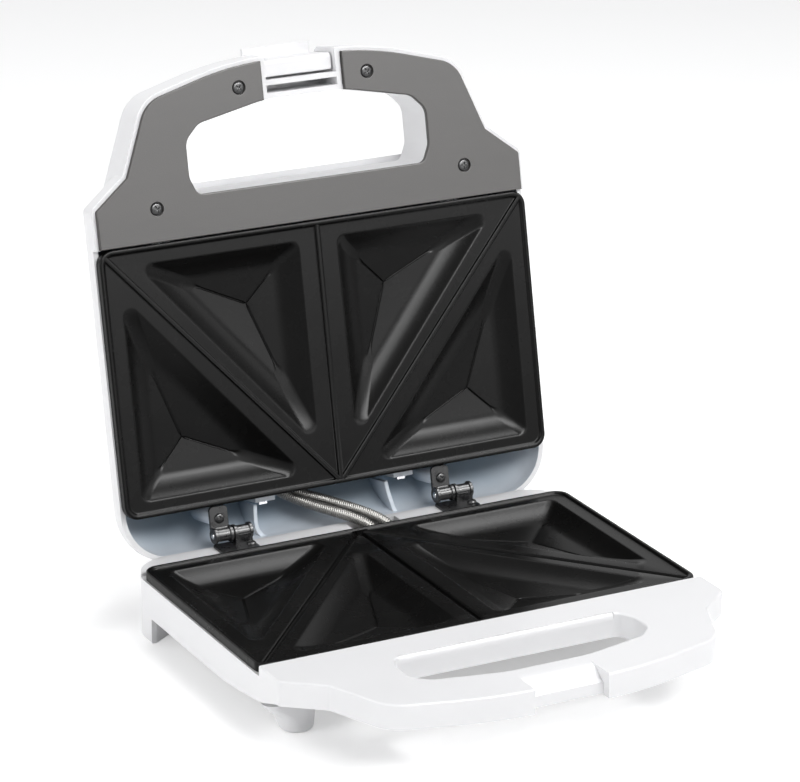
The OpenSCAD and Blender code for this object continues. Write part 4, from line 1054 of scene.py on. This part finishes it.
def knuckle(s, x0, x1, z, place, r=3.8):
    """Half of a hinge barrel with a raised ring at each end."""
    x0, x1 = s * HINGE_X + x0, s * HINGE_X + x1
    prof = [(1.55, x0), (r - 0.25, x0), (r, x0 + 0.25), (r, x0 + 1.3), (r - 0.2, x0 + 1.5),
            (r - 0.75, x0 + 1.7), (r - 0.75, x1 - 1.7), (r - 0.2, x1 - 1.5), (r, x1 - 1.3),
            (r, x1 - 0.25), (r - 0.25, x1), (1.55, x1)]
    return turned("knuckle", prof, (0, HINGE_Y, z), "X", 56, place)


def pressed(p, rad, lo, hi, place):
    """Sheet metal blank with rounded edges on its upper side."""
    s = 1 if hi > lo else -1
    steps = [(0.12, lo), (0, lo + s * 0.12), (0, hi - s * 0.3), (0.1, hi - s * 0.1), (0.32, hi)]
    rings = [at_z(rounded(moved_in(p, a), [max(q - a, 0.4) for q in rad], 8), z) for a, z in steps]
    return lofted("leaf", rings, place)


# Half the width of a leaf
LEAF = 9.5
for s, side, base_spot, lid_spot in zip(SIDES, ("left", "right"), BASE_HINGE_SPOTS, LID_HINGE_SPOTS):
    x = s * HINGE_X
    # Base half: leaf on the rear deck, web and knuckle on the right
    p = [[x - LEAF, 14.2], [x - LEAF, 2.2], [x + LEAF, 2.2], [x + LEAF, 14.2]]
    leaf = pressed(p, [1.2, 2.2, 2.2, 1.2], LEDGE, LEDGE + 1.4, IN_BASE)
    web = box((x + 0.6, 10.6, LEDGE + 0.6), (x + 9.2, 14.1, HINGE_Z), IN_BASE, 0.3, 2)
    combine(leaf, [web, knuckle(s, 0.25, LEAF, HINGE_Z, IN_BASE)], "UNION")
    combine(leaf, [bore(1.5, x - 20, x + 20, HINGE_Y, HINGE_Z),
                   bore(4.1, x - 20, x + 0.25, HINGE_Y, HINGE_Z, 56),
                   *pillars([base_spot], 1.4, -10, 10, IN_BASE)])
    leaf.name = "hinge_base_leaf_%s_part" % side
    dress(leaf, black_steel, "base", ["hinge_base_leaf_" + side], angle=40)
    # Lid half: leaf on the lid's boss and knuckle on the left
    p = [[x - LEAF, 13.9], [x - LEAF, 0.7], [x - LEAF + 9.25, 0.7], [x - LEAF + 9.25, 13.9]]
    leaf = pressed(p, [0.6, 2.2, 2.2, 0.6], HINGE_D + 2.9, HINGE_D + 1.5, IN_LID)
    arm = box((x - 9.3, 10.4, HINGE_D), (x - 0.45, 13.9, HINGE_D + 2.7), IN_LID, 0.3, 2)
    combine(leaf, [arm, knuckle(s, -LEAF, -0.25, HINGE_D, IN_LID)], "UNION")
    combine(leaf, [bore(1.55, x - 20, x + 20, HINGE_Y, HINGE_D, 40, IN_LID),
                   *pillars([lid_spot], 1.4, 0, 10)])
    leaf.name = "hinge_lid_leaf_%s_part" % side
    dress(leaf, black_steel, "lid", ["hinge_lid_leaf_" + side], angle=40)
    # Pin with domed, riveted ends
    prof = [(0.001, x - 10.1), (0.7, x - 10.05), (1.2, x - 9.9), (1.5, x - 9.6), (1.5, x + 9.6),
            (1.2, x + 9.9), (0.7, x + 10.05), (0.001, x + 10.1)]
    pin = turned("hinge_pin_%s_part" % side, prof, (0, HINGE_Y, HINGE_Z), "X", 40)
    dress(pin, bright, "base", ["hinge_pin_" + side], weighted=False)

screw_set("base_hinge_screws", "base", BASE_HINGE_SPOTS, LEDGE + 1.4, 2.2, 1.4, IN_BASE, DOWN, 7.5)
screw_set("lid_hinge_screws", "lid", LID_HINGE_SPOTS, HINGE_D + 1.5, 2.4, 1.2, IN_LID, UP, 9)

# ---------------- conduit


def bezier(a, b, c, d, n):
    t = np.linspace(0, 1, n)[:, None]
    s = 1 - t
    a, b, c, d = (np.array(q, float) for q in (a, b, c, d))
    return s ** 3 * a + 3 * s * s * t * b + 3 * s * t * t * c + t ** 3 * d


def coil(name, path, radius, wire, pitch, per_turn=14):
    """A close-wound sleeve: round wire wound round the path."""
    seg = np.linalg.norm(np.diff(path, axis=0), axis=1)
    s = np.concatenate([[0], np.cumsum(seg)])
    turns = s[-1] / pitch
    u = np.linspace(0, s[-1], int(turns * per_turn))
    mid = np.column_stack([np.interp(u, s, path[:, i]) for i in range(3)])
    d = directions(mid)
    n1 = unit(np.cross(d[0], [0, 1, 0.2]))
    pts = []
    for i in range(len(mid)):
        n1 = unit(n1 - d[i] * (n1 @ d[i]))
        n2 = np.cross(d[i], n1)
        a = 2 * math.pi * u[i] / pitch
        pts.append(mid[i] + (radius - wire) * (math.cos(a) * n1 + math.sin(a) * n2))
    return sweep(name, pts, wire, 7)


# Two sleeves of wound wire, each round a core that hides what is behind the winding
SLEEVE_R, WIRE_R, PITCH, CORE_R = 2.55, 0.42, 0.95, 1.9
P1 = bezier((20.6, 5.2, -8), (22.4, 6.1, -0.5), (-0.9, 21.2, 4.7), (-17.5, 30.1, 10.5), 240)
P2 = bezier((12.6, 5.2, -8), (10.5, 6.5, 1.8), (-9.5, 19, 2.2), (-24.5, 31.5, 11), 240)
springs = join("conduit_sleeves_part",
               [coil("c", P1, SLEEVE_R, WIRE_R, PITCH), coil("c", P2, SLEEVE_R, WIRE_R, PITCH),
                sweep("core", P1[2:-2], CORE_R, 14), sweep("core", P2[2:-2], CORE_R, 14)])
springs.data.materials.clear()
springs.data.materials.append(spring)
springs.data.shade_smooth()
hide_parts("conduit_sleeves")
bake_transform(springs)

# ---------------- lamps and gland
skin = DOME - WALL
for x, side, mat, slot_name in ((-LENS_X, "power", red_lens, "red_lens"),
                                (LENS_X, "ready", green_lens, "green_lens")):
    prof = [(0.001, skin - 1.2), (5.2, skin - 1.2), (5.4, skin - 1.0), (5.4, skin - 0.2),
            (5.2, skin), (LENS_R, skin), (LENS_R, skin + 1.9)]
    for i in range(1, 13):
        a = math.pi / 2 * i / 12
        prof.append((max(LENS_R * math.cos(a), 0.001), skin + 1.9 + 1.2 * math.sin(a)))
    lens = turned(side + "_lamp_lens_part", prof, (x, LAMP_Y, 0), "Z", 48, IN_LID)
    dress(lens, mat, "lid", [side + "_lamp_lens"], angle=40, weighted=False)

# The gland is a closed ring profile of (radius, y) with five soft ribs behind the wall
prof = [(LEAD_R, REAR - WALL - 1.5), (GLAND_R + 0.4, REAR - WALL - 1.5),
        (GLAND_R + 0.6, REAR - WALL - 1.3), (GLAND_R + 0.6, REAR - WALL - 0.1),
        (GLAND_R - 0.05, REAR - WALL), (GLAND_R - 0.05, REAR),
        (GLAND_R + 0.7, REAR + 0.02), (GLAND_R + 0.9, REAR + 0.25)]
for i in range(5):
    y = REAR + 0.7 + i * 1.05
    r = GLAND_R + 0.9 - (i + 0.5) * 0.22
    prof += [(r, y), (r - 0.05, y + 0.35), (r - 0.5, y + 0.5), (r - 0.5, y + 0.8),
             (r - 0.08, y + 0.95)]
prof += [(GLAND_R - 0.3, REAR + 5.95), (GLAND_R - 0.6, REAR + 6.0), (LEAD_R, REAR + 6.0)]
rings = []
n = 56
for r, y in prof + [prof[0]]:
    t = np.arange(n) * 2 * math.pi / n
    rings.append(np.column_stack([GLAND_X + r * np.sin(t), np.full(n, y), GLAND_Z + r * np.cos(t)]))
gland = tidy_normals(mesh_object("cord_gland_part", *loft(rings, False)))
dress(gland, white, "base", ["cord_gland"], angle=40, weighted=False)

# ---------------- stage, light, camera
scene = bpy.context.scene
floor_me = bpy.data.meshes.new("floor")
floor_me.from_pydata([(-6, -6, 0), (6, -6, 0), (6, 6, 0), (-6, 6, 0)], [], [(0, 1, 2, 3)])
floor = new_object("floor", floor_me)
paper = material("floor_paper", (0.86, 0.86, 0.86), 0.9, vary=0.004, scale=3, bump=0.02)
floor_me.materials.append(paper)


def see_through_rays(nt):
    """Camera, glossy and transmission rays, which see the background as white."""
    path = nt.nodes.new("ShaderNodeLightPath")
    last = path.outputs["Is Camera Ray"]
    for other in ("Is Glossy Ray", "Is Transmission Ray"):
        add = nt.nodes.new("ShaderNodeMath")
        add.operation = "ADD"
        add.use_clamp = True
        nt.links.new(last, add.inputs[0])
        nt.links.new(path.outputs[other], add.inputs[1])
        last = add.outputs[0]
    return last


# The paper is lifted to white where nothing shades it
nt = paper.node_tree
link = nt.links.new
glow = nt.nodes.new("ShaderNodeEmission")
lift = nt.nodes.new("ShaderNodeMath")
lift.operation = "MULTIPLY"
lift.inputs[1].default_value = 0.34
link(see_through_rays(nt), lift.inputs[0])
link(lift.outputs[0], glow.inputs["Strength"])
both = nt.nodes.new("ShaderNodeAddShader")
link(nt.nodes["Principled BSDF"].outputs[0], both.inputs[0])
link(glow.outputs[0], both.inputs[1])
link(both.outputs[0], nt.nodes["Material Output"].inputs["Surface"])


def lamp(name, at, aim, size, size_y, power):
    data = bpy.data.lights.new(name, "AREA")
    data.shape = "RECTANGLE"
    data.size = size
    data.size_y = size_y
    data.energy = power
    ob = new_object(name, data)
    ob.location = at
    ob.rotation_euler = (Vector(aim) - Vector(at)).to_track_quat("-Z", "Y").to_euler()
    return ob


for name, at, aim_z, size, size_y, power in (
        ("key", (0.43, -1.07, 1.11), 0.15, 1.2, 0.4, 14),
        ("overhead", (0.3, 0.35, 1.31), 0.1, 0.45, 0.45, 6),
        ("right", (1.37, -0.6, 0.7), 0.15, 0.5, 0.5, 2),
        ("left", (-1.62, -0.1, 0.5), 0.1, 0.8, 0.8, 11),
        ("low_front", (0.1, -1.6, 0.2), 0.05, 0.8, 0.25, 1),
        ("back", (-0.95, 1.16, 1.0), 0.1, 0.8, 0.8, 4),
        ("card_front", (0.28, -1.12, 1.08), 0.15, 1.6, 0.45, 46),
        ("card_top", (0.62, 0.02, 1.25), 0.15, 0.5, 0.5, 14),
        ("card_low", (0.7, -1.35, 0.42), 0.15, 1.0, 0.25, 6)):
    ob = lamp(name, at, (0, 0, aim_z), size, size_y, power)
    # The cards stand for reflectors: they give no diffuse light and show only as highlights
    ob.visible_diffuse = not name.startswith("card")

world = bpy.data.worlds.new("studio")
scene.world = world
world.use_nodes = True
nt = world.node_tree
link = nt.links.new
nt.nodes.clear()
out = nt.nodes.new("ShaderNodeOutputWorld")
soft = put_node(nt, "ShaderNodeBackground", Color=(0.97, 0.975, 1.0, 1), Strength=0.27)
clear = put_node(nt, "ShaderNodeBackground", Color=(1, 1, 1, 1), Strength=1.0)
mix = nt.nodes.new("ShaderNodeMixShader")
link(see_through_rays(nt), mix.inputs[0])
link(soft.outputs[0], mix.inputs[1])
link(clear.outputs[0], mix.inputs[2])
link(mix.outputs[0], out.inputs["Surface"])

az, el, roll = math.radians(-27.79), math.radians(19.61), math.radians(0.30)
back = Vector((math.sin(az) * math.cos(el), -math.cos(az) * math.cos(el), math.sin(el)))
right = Vector((math.cos(az), math.sin(az), 0))
up = back.cross(right)
r2 = right * math.cos(roll) + up * math.sin(roll)
u2 = -right * math.sin(roll) + up * math.cos(roll)
cam_data = bpy.data.cameras.new("camera")
# The camera was fitted to the photo: focal length in pixels of an image 800 pixels wide
FOCAL, IMAGE_W, SENSOR = 3841.03, 800, 36
cam_data.sensor_width = SENSOR
cam_data.lens = FOCAL * SENSOR / IMAGE_W
cam_data.clip_start = 0.1
cam_data.clip_end = 20
cam = new_object("camera", cam_data)
rot = Matrix((r2, u2, back)).transposed().to_4x4()
cam.matrix_world = Matrix.Translation(ORIGIN + Vector((-752.3, -1469.1, 654.8)) * MM) @ rot
scene.camera = cam
scene.view_settings.view_transform = "Standard"

bpy.context.view_layer.update()
